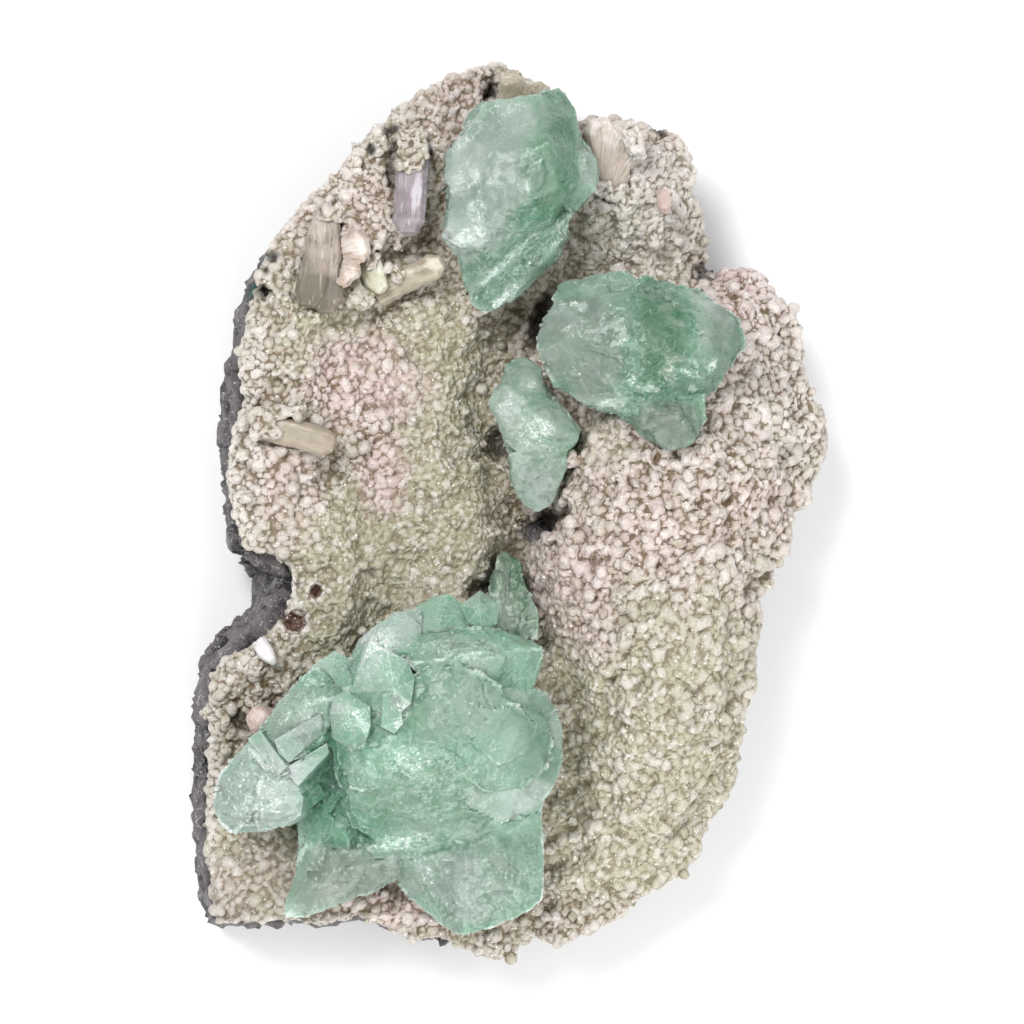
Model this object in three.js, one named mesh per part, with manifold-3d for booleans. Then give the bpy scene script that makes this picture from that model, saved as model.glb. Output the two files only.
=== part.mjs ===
// A green apophyllite cluster: sprays of apophyllite and a few stilbite blades, grown on a lumpy zeolite
// crust that lines a broken slab of dark basalt.
// Millimetres, +Z up. The slab lies on its sawn back, +Z points out of its crystal face and +Y runs along
// its length. The origin is under the middle of the piece, on the surface that it rests on.
import * as THREE from "three";
import { ConvexGeometry } from "three/addons/geometries/ConvexGeometry.js";
import { mergeVertices } from "three/addons/utils/BufferGeometryUtils.js";
import Module from "manifold-3d";

const wasm = await Module();
wasm.setup();

// ---- Driving dimensions ----

const GAP = 0.35; // between two pieces that grew against each other
const LENGTH = 184; // of the blanks that the slab is cut from, a little over the piece itself
const WIDTH = 136;
const FLOOR = 31; // height of the crust's broad left hollow above the base
const CRUST = 5; // least thickness of the zeolite crust
const RIM_RISE = 7; // the left rim stands this much above the hollow
const RIM_BREADTH = [12, 19]; // where the rim's inner bank starts and ends, in from the edge
const RIM_START = [-62, -28]; // along the piece: there is no rim below this, and a full one above
const EDGE_FALL = 6.5; // how far the crust rounds down at the right and lower edges
const EDGE_BREADTH = 6;
const DOME = { x: 33, y: -8, across: 31, along: 66, rise: 12 };
const LOBE = { x: 24, y: 64, across: 15, along: 16, rise: 4 };
const SEAT = { x: -26, y: -46, across: 30, along: 30, rise: -4 }; // the dip that the rosette grows from
const LUMP_STEP = 4.1; // between the corners of the crust's facets; every third corner is a lump's top
const LUMP_RISE = [1, 2.6];
const LUMP_FOOT = [-0.25, 0.25];
const BED_STEP = 10; // the same, where crust and basalt meet
const BED_WIDENING = 4; // how much wider the valley is in the bed than in the crust that lines it
const SHAKE = 0.3; // how far a facet's corner strays from its place, as a share of the step
const FLANK_HEIGHTS = [0, 9, 19, 60];
const FLANK_CHIPS = [2, 3.4, 2.6, 0.6]; // how far the broken flank's facets stand in or out there
const FOOT_CHAMFER = 1;
const SEEN_ROUGHNESS = 0.4; // share of the chips where the flank stands out past the crust
const FLANK_INSET = 0.3; // the basalt's edge lies this much inside the crust's
const DRAW_IN = 0.16; // how far a crystal's lower corners are drawn in towards its spray's hub
const ROOT_TAPER = 0.3; // how far a root's lower corners are drawn in towards its middle
const ROOM = 2.6; // growth of a crystal's room for each GAP, as a share of the crystal's thickness

// The crust's edge, clockwise from the top: x, y, and how far the basalt stands out past it at the foot.
const EDGE = [
  [-2.4, 89.2, -2], [5, 87.2, -3], [10, 82.8, -4], [13.4, 79, -5], [17.6, 80, -5],
  [25.6, 78.8, -5], [30.2, 76.6, -5], [35, 72, -6], [34.8, 64.4, -5], [38.2, 59.6, -6],
  [38.8, 53.4, -6], [40.2, 48.6, -4], [45.6, 49.6, -5], [50, 49, -6], [52.4, 45.2, -6],
  [56.2, 41.4, -6], [59, 37.4, -6], [59, 30, -5], [60.8, 23.6, -6], [63.2, 19.4, -7],
  [63.6, 13.4, -7], [62.2, 7.2, -7], [58, 2.8, -5], [54.8, -0.8, -4], [53.8, -6.8, -4],
  [51.4, -12.8, -4], [49, -17, -3], [49.6, -25.6, -4], [48.8, -33.8, -4], [47.2, -39.4, -4],
  [46.2, -46.4, -4], [45.4, -53.4, -4], [43.4, -58.6, -5], [39, -63.4, -4], [38, -68.4, -5],
  [35.6, -72.8, -5], [30.6, -75.6, -5], [26, -78, -4], [22.2, -82.4, -5], [15, -85, -4],
  [9.6, -87.6, -4], [4.6, -86.2, -3], [-0.6, -89.8, -4], [-7, -89.6, -3], [-12, -87.2, -1],
  [-14.6, -85.2, 1], [-20, -86.2, -1], [-27, -83.2, 0], [-31, -81.8, 1.8], [-37, -83, 0],
  [-46, -82.4, 0.8], [-54, -83, 0.6], [-59.8, -82.8, 2.4], [-61, -76.6, 4.6], [-61.6, -69.4, 4.6],
  [-61.8, -61.2, 4.4], [-61.4, -53, 5], [-61, -45, 5], [-60.8, -38, 5], [-60, -32.6, 4.6],
  [-57.2, -29.4, 4.8], [-52.4, -26.4, 6], [-48.6, -24, 7.4], [-45.6, -20.4, 9],
  [-44.2, -16.4, 9.6], [-44.4, -12.4, 9.8], [-46.4, -9, 9.4], [-50.6, -7.4, 6.4],
  [-53.6, -6.4, 4.6], [-56, -1, 4], [-57.2, 6, 3.8], [-57, 12.4, 4.4], [-55.4, 18, 5.6],
  [-53.8, 22.6, 7], [-54.6, 28, 5.4], [-54.4, 33, 4], [-53, 40, 3.6], [-51.2, 46, 3.4],
  [-48, 52, 3], [-42.4, 58.6, 2.4], [-34.4, 66.8, 2.2], [-29.6, 72.8, 2.2], [-22.4, 79.4, 2],
  [-14.4, 84.8, 1.4], [-8.4, 87.8, 0.8],
];

// The valley between the left hollow and the right dome, with the crevice in it: x, y, depth, half width.
const VALLEY = [
  [41, 49.5, 9, 5], [27, 51, 7, 7], [12, 46, 8, 7], [-1, 34, 9, 6], [-5, 19, 9, 6], [-2, 6, 10, 6],
  [1.5, -4, 17, 4], [0, -15, 17, 4.5], [5, -27, 9, 6], [11, -40, 7, 6.5], [12, -58, 6, 7], [8, -78, 4, 7],
];

// Each crystal of a spray opens upwards from the spray's hub. top holds the corners of its free faces and
// thick is how deep the faces around its edge go.
const ROSETTE = {
  hub: [-24, -47, 34],
  root: {
    rise: [25.5, 38],
    corners: [[-34, -40], [-24, -35], [-13, -40], [-12, -52], [-22, -59], [-34, -55]],
  },
  crystals: {
    left_wing: {
      thick: 10,
      top: [
        [-59.8, -55.6, 42], [-58.6, -52, 44], [-54.6, -46.6, 46], [-49, -47, 49], [-45.4, -52.6, 51],
        [-42.4, -55.6, 49], [-42.8, -60.4, 45], [-48, -63.6, 42], [-56.6, -64.4, 40],
      ],
    },
    left_bar: {
      thick: 8,
      top: [[-52.2, -46.6, 50], [-49.6, -44, 51], [-44.2, -50.8, 53], [-46.6, -53, 52.4]],
    },
    left_step: {
      thick: 14,
      top: [
        [-50, -42.4, 48], [-47, -38.6, 49], [-36.8, -35.8, 51], [-34.6, -38.2, 53], [-36.2, -45.2, 53],
        [-42, -52.8, 50], [-45.2, -51.2, 50], [-48.6, -45.2, 51],
      ],
    },
    left_step_cap: {
      thick: 8,
      top: [
        [-46.8, -40, 52.6], [-38.6, -38.8, 54.4], [-37.4, -44.6, 55], [-42.6, -48.6, 53.8],
        [-45.6, -45.6, 53],
      ],
    },
    back_left: {
      thick: 12,
      top: [
        [-47, -38.2, 42], [-42.2, -33.8, 43], [-35, -28.4, 44], [-32.2, -30.4, 46], [-32, -36, 48],
        [-38, -42, 47],
      ],
    },
    bright_block: {
      thick: 13,
      top: [
        [-35, -38.2, 56.6], [-31.8, -37, 58], [-28.8, -39.8, 59], [-28.8, -45.4, 59], [-31.2, -48, 57],
        [-35, -44.6, 56],
      ],
    },
    pyramid: {
      thick: 12,
      top: [
        [-27.8, -26.2, 49], [-31.4, -30.4, 49], [-31.8, -35.6, 51], [-22.4, -29.8, 52], [-21.8, -39, 57],
        [-27.4, -38.4, 57], [-25.6, -34, 59],
      ],
    },
    silver_back: {
      thick: 10,
      top: [
        [-32.2, -30, 44], [-30, -24.6, 45], [-24, -20, 46], [-17.4, -19.4, 45], [-13.4, -23, 48],
        [-21, -28.6, 52], [-25.2, -27, 51],
      ],
    },
    back_dark: {
      thick: 8,
      top: [[-18.2, -20.6, 41], [-14.4, -18, 41.6], [-10, -18.8, 41], [-8.6, -24, 44], [-16, -26, 46]],
    },
    cube: {
      thick: 11,
      top: [
        [-9.8, -19.8, 45], [-6.6, -16.6, 45.4], [-3.8, -18.2, 45], [-3.4, -22.4, 47], [-8.2, -24, 48],
      ],
    },
    right_wing: {
      thick: 11,
      top: [
        [-22.4, -29, 53], [-19, -25.8, 52], [-14.2, -24, 52], [-4.2, -22.8, 50], [2, -24.4, 49],
        [6.8, -27.2, 48], [6, -30.8, 49], [2.8, -36, 50], [-8, -36.8, 56.4], [-21.6, -37.4, 58.2],
      ],
    },
    crown: {
      thick: 12,
      top: [
        [-27, -38, 57], [-21.6, -37.4, 58.2], [-8, -36.8, 56.4], [-2.4, -42, 54], [-8.2, -52.6, 54],
        [-15.6, -62.8, 48.2], [-26.2, -65.6, 44.4], [-32.2, -62.6, 44], [-34.4, -53.8, 50], [-34.2, -47, 54],
        [-24.2, -47.4, 59],
      ],
    },
    right_petal: {
      thick: 11,
      top: [
        [2.8, -36, 50], [7.2, -38.2, 46], [9.8, -44.2, 45], [9.8, -49.4, 45], [7.4, -53.2, 45],
        [6.4, -54.6, 45.6], [-8.2, -52.6, 54], [-2.4, -42, 54], [-8, -36.8, 56.4],
      ],
    },
    lower_shelf: {
      thick: 10,
      top: [
        [-8.2, -52.6, 54], [6.4, -54.6, 45.6], [7, -57.6, 44], [5, -61, 42.6], [-6.4, -67.6, 41.6],
        [-16.4, -68.2, 41.4], [-29, -67.6, 41], [-26.2, -65.6, 44.4], [-15.6, -62.8, 48.2],
      ],
    },
    lower_right_petal: {
      thick: 6,
      top: [
        [-22.8, -73, 36.4], [-15, -69.4, 39.4], [-6.4, -67.2, 40.4], [5.2, -61.4, 40.4], [5.8, -71.6, 38],
        [5.6, -77.4, 36.4], [-2.4, -82.6, 35.4], [-8.8, -84.2, 35.4], [-16.4, -79.8, 36],
        [-20.8, -76.2, 36], [-15, -74, 41.4], [-7.4, -72, 41.4],
      ],
    },
    lower_left_petal: {
      thick: 5,
      top: [
        [-42.4, -67.6, 39.4], [-24.4, -67.6, 41], [-23, -72.4, 38.6], [-32, -76.2, 36.8], [-42.4, -81, 35.4],
        [-45.8, -81.2, 35], [-43, -71.6, 38],
      ],
    },
    dark_recess: {
      thick: 10,
      top: [
        [-42.2, -55.8, 40], [-36.4, -46.8, 44], [-33.2, -50, 44], [-32.4, -67.4, 41],
        [-42.4, -67.4, 37.6],
      ],
    },
  },
};

const UPPER_SPRAY = {
  hub: [4, 63, 38],
  root: {
    rise: [28.8, 41],
    corners: [[-5, 70], [4, 76], [10, 70], [10, 60], [2, 50], [-5, 52], [-8, 62]],
  },
  crystals: {
    dark_block: {
      thick: 10,
      top: [
        [5.8, 83.4, 46.6], [7.4, 84.6, 45], [9, 84.6, 44.6], [10.8, 82.6, 44.6], [13, 79.8, 45],
        [13.8, 76, 46], [12.6, 64.4, 50], [7.4, 57.6, 49.6], [3.4, 64, 57], [7, 73, 55.4],
      ],
    },
    right_block: {
      thick: 10,
      top: [
        [14.4, 73.6, 44], [17, 70.6, 44], [17.4, 67.8, 44.4], [17, 64.4, 45], [12.4, 59.6, 46],
        [9.4, 62.4, 50], [9.6, 72.4, 50],
      ],
    },
    top_block: {
      thick: 10,
      top: [
        [-9.6, 75.4, 48], [-8.2, 78.2, 46.8], [-6, 81.6, 46], [-2.4, 82.4, 46.4], [5.8, 83.4, 46.6],
        [7, 73, 55.4], [3.4, 64, 57], [-3, 70.4, 54.6],
      ],
    },
    left_block: {
      thick: 10,
      top: [
        [-12.2, 64.4, 48], [-13.6, 65.8, 47], [-13.2, 70, 46.4], [-12.6, 72.2, 46.6], [-9.6, 75.4, 48],
        [-3, 70.4, 54.6], [3.4, 64, 57], [-5, 64.8, 55],
      ],
    },
    lower_block: {
      thick: 10,
      top: [
        [-12.2, 64.4, 48], [-13, 59.2, 48], [-13.8, 54.6, 47], [-10.6, 52.4, 47], [-6.8, 52, 47.4],
        [-0.4, 54.2, 48.6], [7.4, 57.6, 49.6], [3.4, 64, 57], [-5, 64.8, 55],
      ],
    },
    sheaf_left: {
      thick: 7,
      top: [
        [-10.4, 52.8, 42], [-4.8, 54.2, 44.4], [-5.8, 48, 43], [-5, 39.4, 38.6], [-8.2, 41.8, 39],
        [-10.2, 46.4, 40],
      ],
    },
    sheaf_middle: {
      thick: 7,
      top: [
        [-4.8, 54.2, 44.4], [4, 57.6, 46.4], [0.6, 48, 43.6], [-1.2, 41.8, 39.8], [-5, 39.4, 38.6],
        [-5.8, 48, 43],
      ],
    },
    sheaf_right: {
      thick: 7,
      top: [
        [4, 57.6, 46.4], [12, 60, 45], [11.2, 55.6, 43.6], [7.6, 50, 42], [3.6, 45, 40.6],
        [-1.2, 41.8, 39.8], [0.6, 48, 43.6],
      ],
    },
  },
};

const FAN_SPRAY = {
  hub: [27, 33, 43],
  root: {
    rise: [38.4, 48],
    corners: [[16, 37], [25, 42], [34, 38], [37, 30], [31, 21], [25, 20], [16, 28]],
  },
  crystals: {
    back_slope: {
      thick: 8,
      top: [
        [7.6, 42.4, 49], [8.8, 45.4, 48.6], [12.8, 46.8, 48.6], [22, 48.2, 48.6], [24.4, 46.4, 51],
        [24, 41.6, 58.6], [9.6, 41.4, 53.6],
      ],
    },
    left_shell: {
      thick: 11,
      top: [
        [4.4, 34.8, 52], [6, 36.8, 52], [7.2, 40.8, 52], [9.6, 41.4, 53.6], [24, 41.6, 58.6],
        [26.4, 33.4, 61.4], [16, 34, 60.6], [5, 32.2, 53],
      ],
    },
    lower_shell: {
      thick: 11,
      top: [
        [5, 32.2, 53], [8, 27.8, 51.6], [8.8, 24.8, 50], [13.6, 21.6, 49.6], [17.6, 20.2, 49.6],
        [22, 21.4, 52], [24, 26.4, 57.4], [26.4, 33.4, 61.4], [16, 34, 60.6],
      ],
    },
    dark_middle: {
      thick: 11,
      top: [[24.4, 46.4, 51], [31, 46.6, 50.4], [32.4, 40, 58], [26.4, 33.4, 61.4], [24, 41.6, 58.6]],
    },
    upper_fan: {
      thick: 9,
      top: [
        [31, 46.6, 50.4], [35.2, 45.2, 49.6], [42, 41.2, 49.6], [45, 38.4, 50], [36.8, 36.6, 57],
        [26.4, 33.4, 61.4], [32.4, 40, 58],
      ],
    },
    right_fan: {
      thick: 9,
      top: [
        [45, 38.4, 50], [46.4, 34.8, 49], [46, 32.4, 49], [43.8, 29.6, 49.4], [36.4, 30, 56],
        [26.4, 33.4, 61.4], [36.8, 36.6, 57],
      ],
    },
    lower_fan: {
      thick: 9,
      top: [
        [43.8, 29.6, 49.4], [42.6, 26.8, 48.6], [38.2, 23.2, 48], [29.6, 22.4, 51], [22, 21.4, 52],
        [24, 26.4, 57.4], [26.4, 33.4, 61.4], [36.4, 30, 56],
      ],
    },
    lower_lobe: {
      thick: 7,
      top: [
        [20, 20.8, 49.6], [25.6, 22.8, 52.4], [38.2, 23.2, 51], [38.8, 19.4, 49.4], [38.2, 16, 48.2],
        [36.8, 13.8, 47.6], [34.2, 12.4, 47], [31.2, 12, 47], [28.6, 12.8, 47.2], [25.6, 14.4, 47.8],
        [22.6, 17.4, 48.6],
      ],
    },
  },
};

const VALLEY_SPRAY = {
  hub: [5, 16, 30],
  root: {
    rise: [24.6, 35],
    corners: [[-4, 22], [0, 26], [5, 24], [6, 14], [3, 6], [-1, 12]],
  },
  crystals: {
    top_lobe: {
      thick: 8,
      top: [
        [-1.8, 27.4, 37], [-1.2, 29.8, 37], [0.6, 30.8, 37], [3.6, 31.2, 37], [5.6, 29, 38], [7, 25.4, 40],
        [5.4, 21.8, 42], [-2, 25.2, 40],
      ],
    },
    middle_lobe: {
      thick: 9,
      top: [
        [-4.8, 22, 39.6], [-4, 24.8, 40], [-1.8, 26, 41], [6.6, 25, 42.4], [11.6, 20, 42], [13.6, 16.4, 41],
        [13.4, 14, 40.6], [10, 11.6, 40], [1.6, 12.4, 40], [-1.8, 15.2, 40], [1, 21, 45.6], [8, 17, 46.4],
      ],
    },
    bottom_lobe: {
      thick: 9,
      top: [
        [1.6, 12.6, 39], [-0.6, 10.4, 37], [-1, 8, 36], [0.2, 5.4, 35], [2, 1.8, 33.6], [5, 0, 33],
        [8, 1.4, 33.6], [9.6, 5.4, 35], [11.6, 9.4, 37], [11, 12.2, 39],
      ],
    },
  },
};

const CREVICE_SPRAY = {
  hub: [1, -18, 23],
  root: {
    rise: [17.6, 26],
    corners: [[-1, -24], [-3, -16], [0, -11], [3, -16], [4, -24]],
  },
  crystals: {
    upper_blade: {
      thick: 7,
      top: [[-4.4, -15, 28], [-2.4, -7.4, 25.4], [1.8, -9.6, 27], [3, -15.6, 31]],
    },
    lower_blade: {
      thick: 8,
      top: [[-4, -15.6, 29], [2.4, -14, 31], [5.6, -20, 33], [5.4, -26, 34], [-1, -24, 33]],
    },
  },
};

// The stilbite crystals: flat blades, one or a few that spread from a shared root.
const STILBITES = {
  lavender_blade: { root: [-19.4, 74, 36.6], tips: [[-20.6, 55.6, 43.5]], wide: 6.8, thick: 4.6, roll: 8 },
  drape_blade: {
    root: [-37, 60, 37], tips: [[-40.6, 41.2, 40.4], [-37, 40, 39.6]], wide: 6.6, thick: 4.2, waist: 0.85,
  },
  pink_fan: {
    root: [-37, 52, 35.6], tips: [[-28.8, 53.6, 41.6], [-32, 46.4, 41.2]], wide: 7, thick: 3.2, waist: 0.6,
  },
  upper_leaf: { root: [-30, 52, 34], tips: [[-25.6, 44.4, 39]], wide: 6, thick: 2.8, roll: 25, roof: 0.35 },
  lower_leaf: { root: [-28.6, 49, 34], tips: [[-30.4, 41, 38.6]], wide: 4.8, thick: 2.6, roll: -20 },
  tan_blade: { root: [-27, 44.2, 33], tips: [[-13.8, 50.2, 39]], wide: 5.4, thick: 4, roll: 5 },
  top_knob: {
    root: [1.6, 80, 32], tips: [[-0.4, 87.2, 39.6], [6, 85, 39.6]], wide: 7, thick: 6.4, roof: 0.4,
  },
  right_sheaf: {
    root: [20.5, 64, 33], tips: [[17.4, 78.8, 38.8], [22.8, 77.4, 38.4]], wide: 6.6, thick: 4.6, waist: 0.7,
  },
  rim_blade: { root: [-50, 17.4, 38], tips: [[-35.4, 13.4, 39.8]], wide: 5.8, thick: 3.8, roll: -8 },
  pink_knob: { root: [-46, -44.6, 33], tips: [[-51, -41, 40.4]], wide: 6, thick: 4.6, roof: 0.45 },
  pink_prism: { root: [30.4, 64.2, 34], tips: [[30.6, 60.4, 40.6]], wide: 2.8, thick: 2.6 },
  white_knob: { root: [-50.4, -26.4, 36], tips: [[-47.6, -29.8, 42]], wide: 3.2, thick: 3, roof: 0.4 },
};

// ---- Small helpers ----

const { clamp, degToRad, lerp, smoothstep } = THREE.MathUtils;
const bell = (v) => Math.exp(-v * v);
const mm = (x, y, z) => new THREE.Vector3(x, y, z);
const centreOf = (points) => points.reduce((sum, p) => sum.add(p), mm(0, 0, 0)).divideScalar(points.length);

// A repeatable number from 0 to 1 for a pair of whole numbers.
function chance(i, j) {
  let h = Math.imul(Math.round(i) + 977, 374761393) ^ Math.imul(Math.round(j) + 491, 668265263);
  h = Math.imul(h ^ (h >>> 13), 1274126177);
  return ((h ^ (h >>> 16)) >>> 0) / 4294967296;
}

// The distance from (x, y) to the line from a to b, and how far along it the nearest point lies, 0 to 1.
function toLine(x, y, [ax, ay], [bx, by]) {
  const [dx, dy] = [bx - ax, by - ay];
  const t = clamp(((x - ax) * dx + (y - ay) * dy) / (dx * dx + dy * dy), 0, 1);
  return { d: Math.hypot(x - ax - t * dx, y - ay - t * dy), t };
}

function solidOf(geometry) {
  geometry.deleteAttribute("normal");
  geometry.deleteAttribute("uv");
  const merged = mergeVertices(geometry, 1e-4);
  const vertProperties = new Float32Array(merged.attributes.position.array);
  return new wasm.Manifold(
    new wasm.Mesh({ numProp: 3, vertProperties, triVerts: new Uint32Array(merged.index.array) }),
  );
}

function geometryOf(solid) {
  const { vertProperties, triVerts } = solid.getMesh();
  const geometry = new THREE.BufferGeometry();
  geometry.setAttribute("position", new THREE.BufferAttribute(vertProperties, 3));
  geometry.setIndex(new THREE.BufferAttribute(triVerts, 1));
  geometry.computeVertexNormals();
  return geometry;
}

const union = (solids) => solids.reduce((whole, next) => whole.add(next));

// The main body of a solid, without the crumbs that a cut can leave.
const mainBody = (solid) => solid.decompose().reduce((a, b) => (b.volume() > a.volume() ? b : a));

// Moves every vertex of a geometry to where place() puts it.
function reshaped(geometry, place) {
  const position = geometry.attributes.position;
  const p = new THREE.Vector3();
  for (let i = 0; i < position.count; i++) {
    place(p.fromBufferAttribute(position, i));
    position.setXYZ(i, p.x, p.y, p.z);
  }
  return geometry;
}

// ---- The relief of the crystal face ----

const edgeDistance = (x, y) =>
  Math.min(...EDGE.map((a, i) => toLine(x, y, a, EDGE[(i + 1) % EDGE.length]).d));

function valleyDepth(x, y, widen) {
  const depths = VALLEY.slice(1).map((b, i) => {
    const a = VALLEY[i];
    const { d, t } = toLine(x, y, a, b);
    return lerp(a[2], b[2], t) * bell(d / (lerp(a[3], b[3], t) + widen));
  });
  return Math.max(...depths);
}

const swell = ({ x: cx, y: cy, across, along, rise }, x, y) =>
  rise * smoothstep(1 - Math.hypot((x - cx) / across, (y - cy) / along), 0, 0.75);

// The smooth height of the crystal face. widen opens the valley, for the bed under the crust.
function relief(x, y, widen = 0) {
  const edge = edgeDistance(x, y);
  const left = smoothstep(-x, -6, 22);
  const rim = RIM_RISE * left * smoothstep(y, ...RIM_START) * (1 - smoothstep(edge, ...RIM_BREADTH));
  const fall = EDGE_FALL * (1 - 0.8 * left) * bell(edge / EDGE_BREADTH);
  const swells = swell(DOME, x, y) + swell(LOBE, x, y) + swell(SEAT, x, y);
  return FLOOR + rim + swells - fall - valleyDepth(x, y, widen);
}

// Everything below a surface. Its top face is drawn over a shaken triangular lattice of corners, up to
// height(x, y, i, j) at the lattice's corner i, j.
function below(height, step) {
  const rise = step * Math.sqrt(0.75);
  const rows = Math.ceil(LENGTH / rise);
  const columns = Math.ceil(WIDTH / step + rows / 2);
  const slab = new THREE.BoxGeometry(columns, rows, 2, columns, rows, 1);
  const place = (p) => {
    const [i, j] = [Math.round(p.x + columns / 2), Math.round(p.y + rows / 2)];
    const [column, row] = [i - columns / 2, j - rows / 2];
    const x = (column - row / 2 + SHAKE * (chance(i, j) - 0.5)) * step;
    const y = row * rise + SHAKE * (chance(j, i + 5) - 0.5) * step;
    p.set(x, y, p.z > 0 ? height(x, y, i, j) : -1);
  };
  return solidOf(reshaped(slab, place));
}

const bedTop = (x, y) => relief(x, y, BED_WIDENING) - CRUST;

// The crust's own surface: every third corner of the lattice is the top of a rounded lump.
function crustTop(x, y, i, j) {
  const isTop = (i + j) % 3 === 0;
  return relief(x, y) + lerp(...(isTop ? LUMP_RISE : LUMP_FOOT), chance(i + 3, j));
}

// ---- Basalt and crust ----

const outline = (points) => new THREE.Shape(points.map(([x, y]) => new THREE.Vector2(x, y)));

// The slab's broken flank: the crust's outline drawn out or in towards the foot, with chipped facets. Where
// it stays under the crust it needs only every other corner.
function flankBlank() {
  const edge = EDGE.filter(([, , out], i) => out > 0 || i % 2 === 0);
  const steps = FLANK_HEIGHTS.length - 1;
  const blank = new THREE.ExtrudeGeometry(outline(edge), { depth: steps, steps, bevelEnabled: false });
  const place = (p) => {
    const i = edge.findIndex(([x, y]) => Math.hypot(p.x - x, p.y - y) < 1e-3);
    const [before, after] = [edge.at(i - 1), edge[(i + 1) % edge.length]];
    const out = mm(before[1] - after[1], after[0] - before[0], 0).normalize();
    const level = Math.round(p.z);
    const foot = 1 - clamp(FLANK_HEIGHTS[level] / FLOOR, 0, 1);
    const rough = edge[i][2] > 0 ? SEEN_ROUGHNESS : 1;
    const chip = rough * FLANK_CHIPS[level] * (2 * chance(Math.floor((i + level) / 2), level) - 1);
    p.z = FLANK_HEIGHTS[level];
    p.addScaledVector(out, edge[i][2] * foot ** 0.8 + chip - (level === 0 ? FOOT_CHAMFER : FLANK_INSET));
  };
  return solidOf(reshaped(blank, place));
}

const crustWall = () =>
  solidOf(new THREE.ExtrudeGeometry(outline(EDGE), { depth: 90, steps: 1, bevelEnabled: false }));

// ---- Crystals ----

// The convex body around a set of points, made larger all round by a share of its size.
function convex(points, factor = 1) {
  const middle = centreOf(points);
  const spread = points.map((p) => middle.clone().lerp(p, factor));
  return solidOf(new ConvexGeometry(spread));
}

// One crystal of a spray: the corners of its free faces, the same corners let down by thick and drawn in
// towards the hub, and the hub itself. grow is the room that its neighbours leave it.
function crystal(hub, { top, thick }, grow) {
  const centre = mm(...hub);
  const corners = top.map((corner) => mm(...corner));
  const lower = corners.map((corner) => corner.clone().sub(mm(0, 0, thick)).lerp(centre, DRAW_IN));
  return convex([...corners, ...lower, centre], 1 + (ROOM * grow) / thick);
}

// The lump that a spray's crystals share, where it sits in the crust.
function root({ rise: [low, high], corners }, grow) {
  const centre = centreOf(corners.map(([x, y]) => mm(x, y, low)));
  const points = corners.flatMap(([x, y]) => [mm(x, y, high), mm(x, y, low).lerp(centre, ROOT_TAPER)]);
  return convex(points, 1 + (ROOM * grow) / (high - low));
}

const spray = ({ hub, root: base, crystals }, grow = 0) =>
  union([root(base, grow), ...Object.values(crystals).map((one) => crystal(hub, one, grow))]);

// The corners of a stilbite blade: a flat prism with slanted long edges and a low roof at its free end.
function bladeCorners(from, to, { wide, thick, roll = 0, waist = 1, roof = 0.12 }, grow) {
  const axis = to.clone().sub(from).normalize();
  const turn = new THREE.Quaternion().setFromAxisAngle(axis, degToRad(roll));
  const side = new THREE.Vector3().crossVectors(axis, mm(0, 0, 1)).normalize().applyQuaternion(turn);
  const up = new THREE.Vector3().crossVectors(side, axis);
  const length = from.distanceTo(to) + grow;
  const at = (u, v, along) => {
    const sideways = side.clone().multiplyScalar(u * (wide / 2 + grow));
    return sideways.addScaledVector(up, v * (thick / 2 + grow)).addScaledVector(axis, along).add(from);
  };
  const section = [[1, 0.4], [0.7, 1], [-0.7, 1], [-1, 0.4], [-0.7, -1], [0.7, -1]];
  return section.flatMap(([u, v]) => [
    at(u * waist, v * waist, -grow), at(u, v, length * (1 - roof)), at(u * 0.5, v * 0.6, length),
  ]);
}

const blades = ({ root: from, tips, ...form }, grow = 0) =>
  tips.map((tip) => bladeCorners(mm(...from), mm(...tip), form, grow));

// ---- Assembly ----

const MATERIALS = {
  basalt: new THREE.MeshStandardMaterial({ color: 0x55504d, roughness: 0.85, metalness: 0 }),
  crust: new THREE.MeshStandardMaterial({ color: 0xd9cfbc, roughness: 0.6, metalness: 0 }),
  apophyllite: new THREE.MeshStandardMaterial({ color: 0x9fcdb0, roughness: 0.2, metalness: 0 }),
  stilbite: new THREE.MeshStandardMaterial({ color: 0xd8c8b8, roughness: 0.4, metalness: 0 }),
};

const specimen = new THREE.Group();

function place(name, solid, material) {
  const mesh = new THREE.Mesh(geometryOf(mainBody(solid)), MATERIALS[material]);
  mesh.name = name;
  specimen.add(mesh);
}

const bed = below(bedTop, BED_STEP);
const bedRoom = below((x, y) => bedTop(x, y) + GAP, BED_STEP);
place("basalt_matrix", flankBlank().intersect(bed), "basalt");

// Each crystal piece takes the room that is left by the ones before it, and the crust fits around them all.
const SPRAYS = {
  rosette: ROSETTE,
  upper_spray: UPPER_SPRAY,
  fan_spray: FAN_SPRAY,
  valley_spray: VALLEY_SPRAY,
  crevice_spray: CREVICE_SPRAY,
};
const rooms = [];
const fitted = (solid) => rooms.reduce((left, room) => left.subtract(room), solid);
for (const [name, form] of Object.entries(SPRAYS)) {
  place(`apophyllite_${name}`, fitted(spray(form)), "apophyllite");
  rooms.push(spray(form, GAP));
}
for (const [name, form] of Object.entries(STILBITES)) {
  place(`stilbite_${name}`, fitted(union(blades(form).map((corners) => convex(corners)))), "stilbite");
  rooms.push(convex(blades(form, GAP).flat()));
}

const crust = below(crustTop, LUMP_STEP).intersect(crustWall()).subtract(bedRoom);
place("zeolite_crust", crust.subtract(union(rooms)), "crust");

// The origin goes under the middle of the finished piece.
const box = new THREE.Box3().setFromObject(specimen);
const middle = box.getCenter(new THREE.Vector3());
for (const { geometry } of specimen.children) {
  geometry.translate(-middle.x, -middle.y, -box.min.z);
}

export default specimen;
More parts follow.
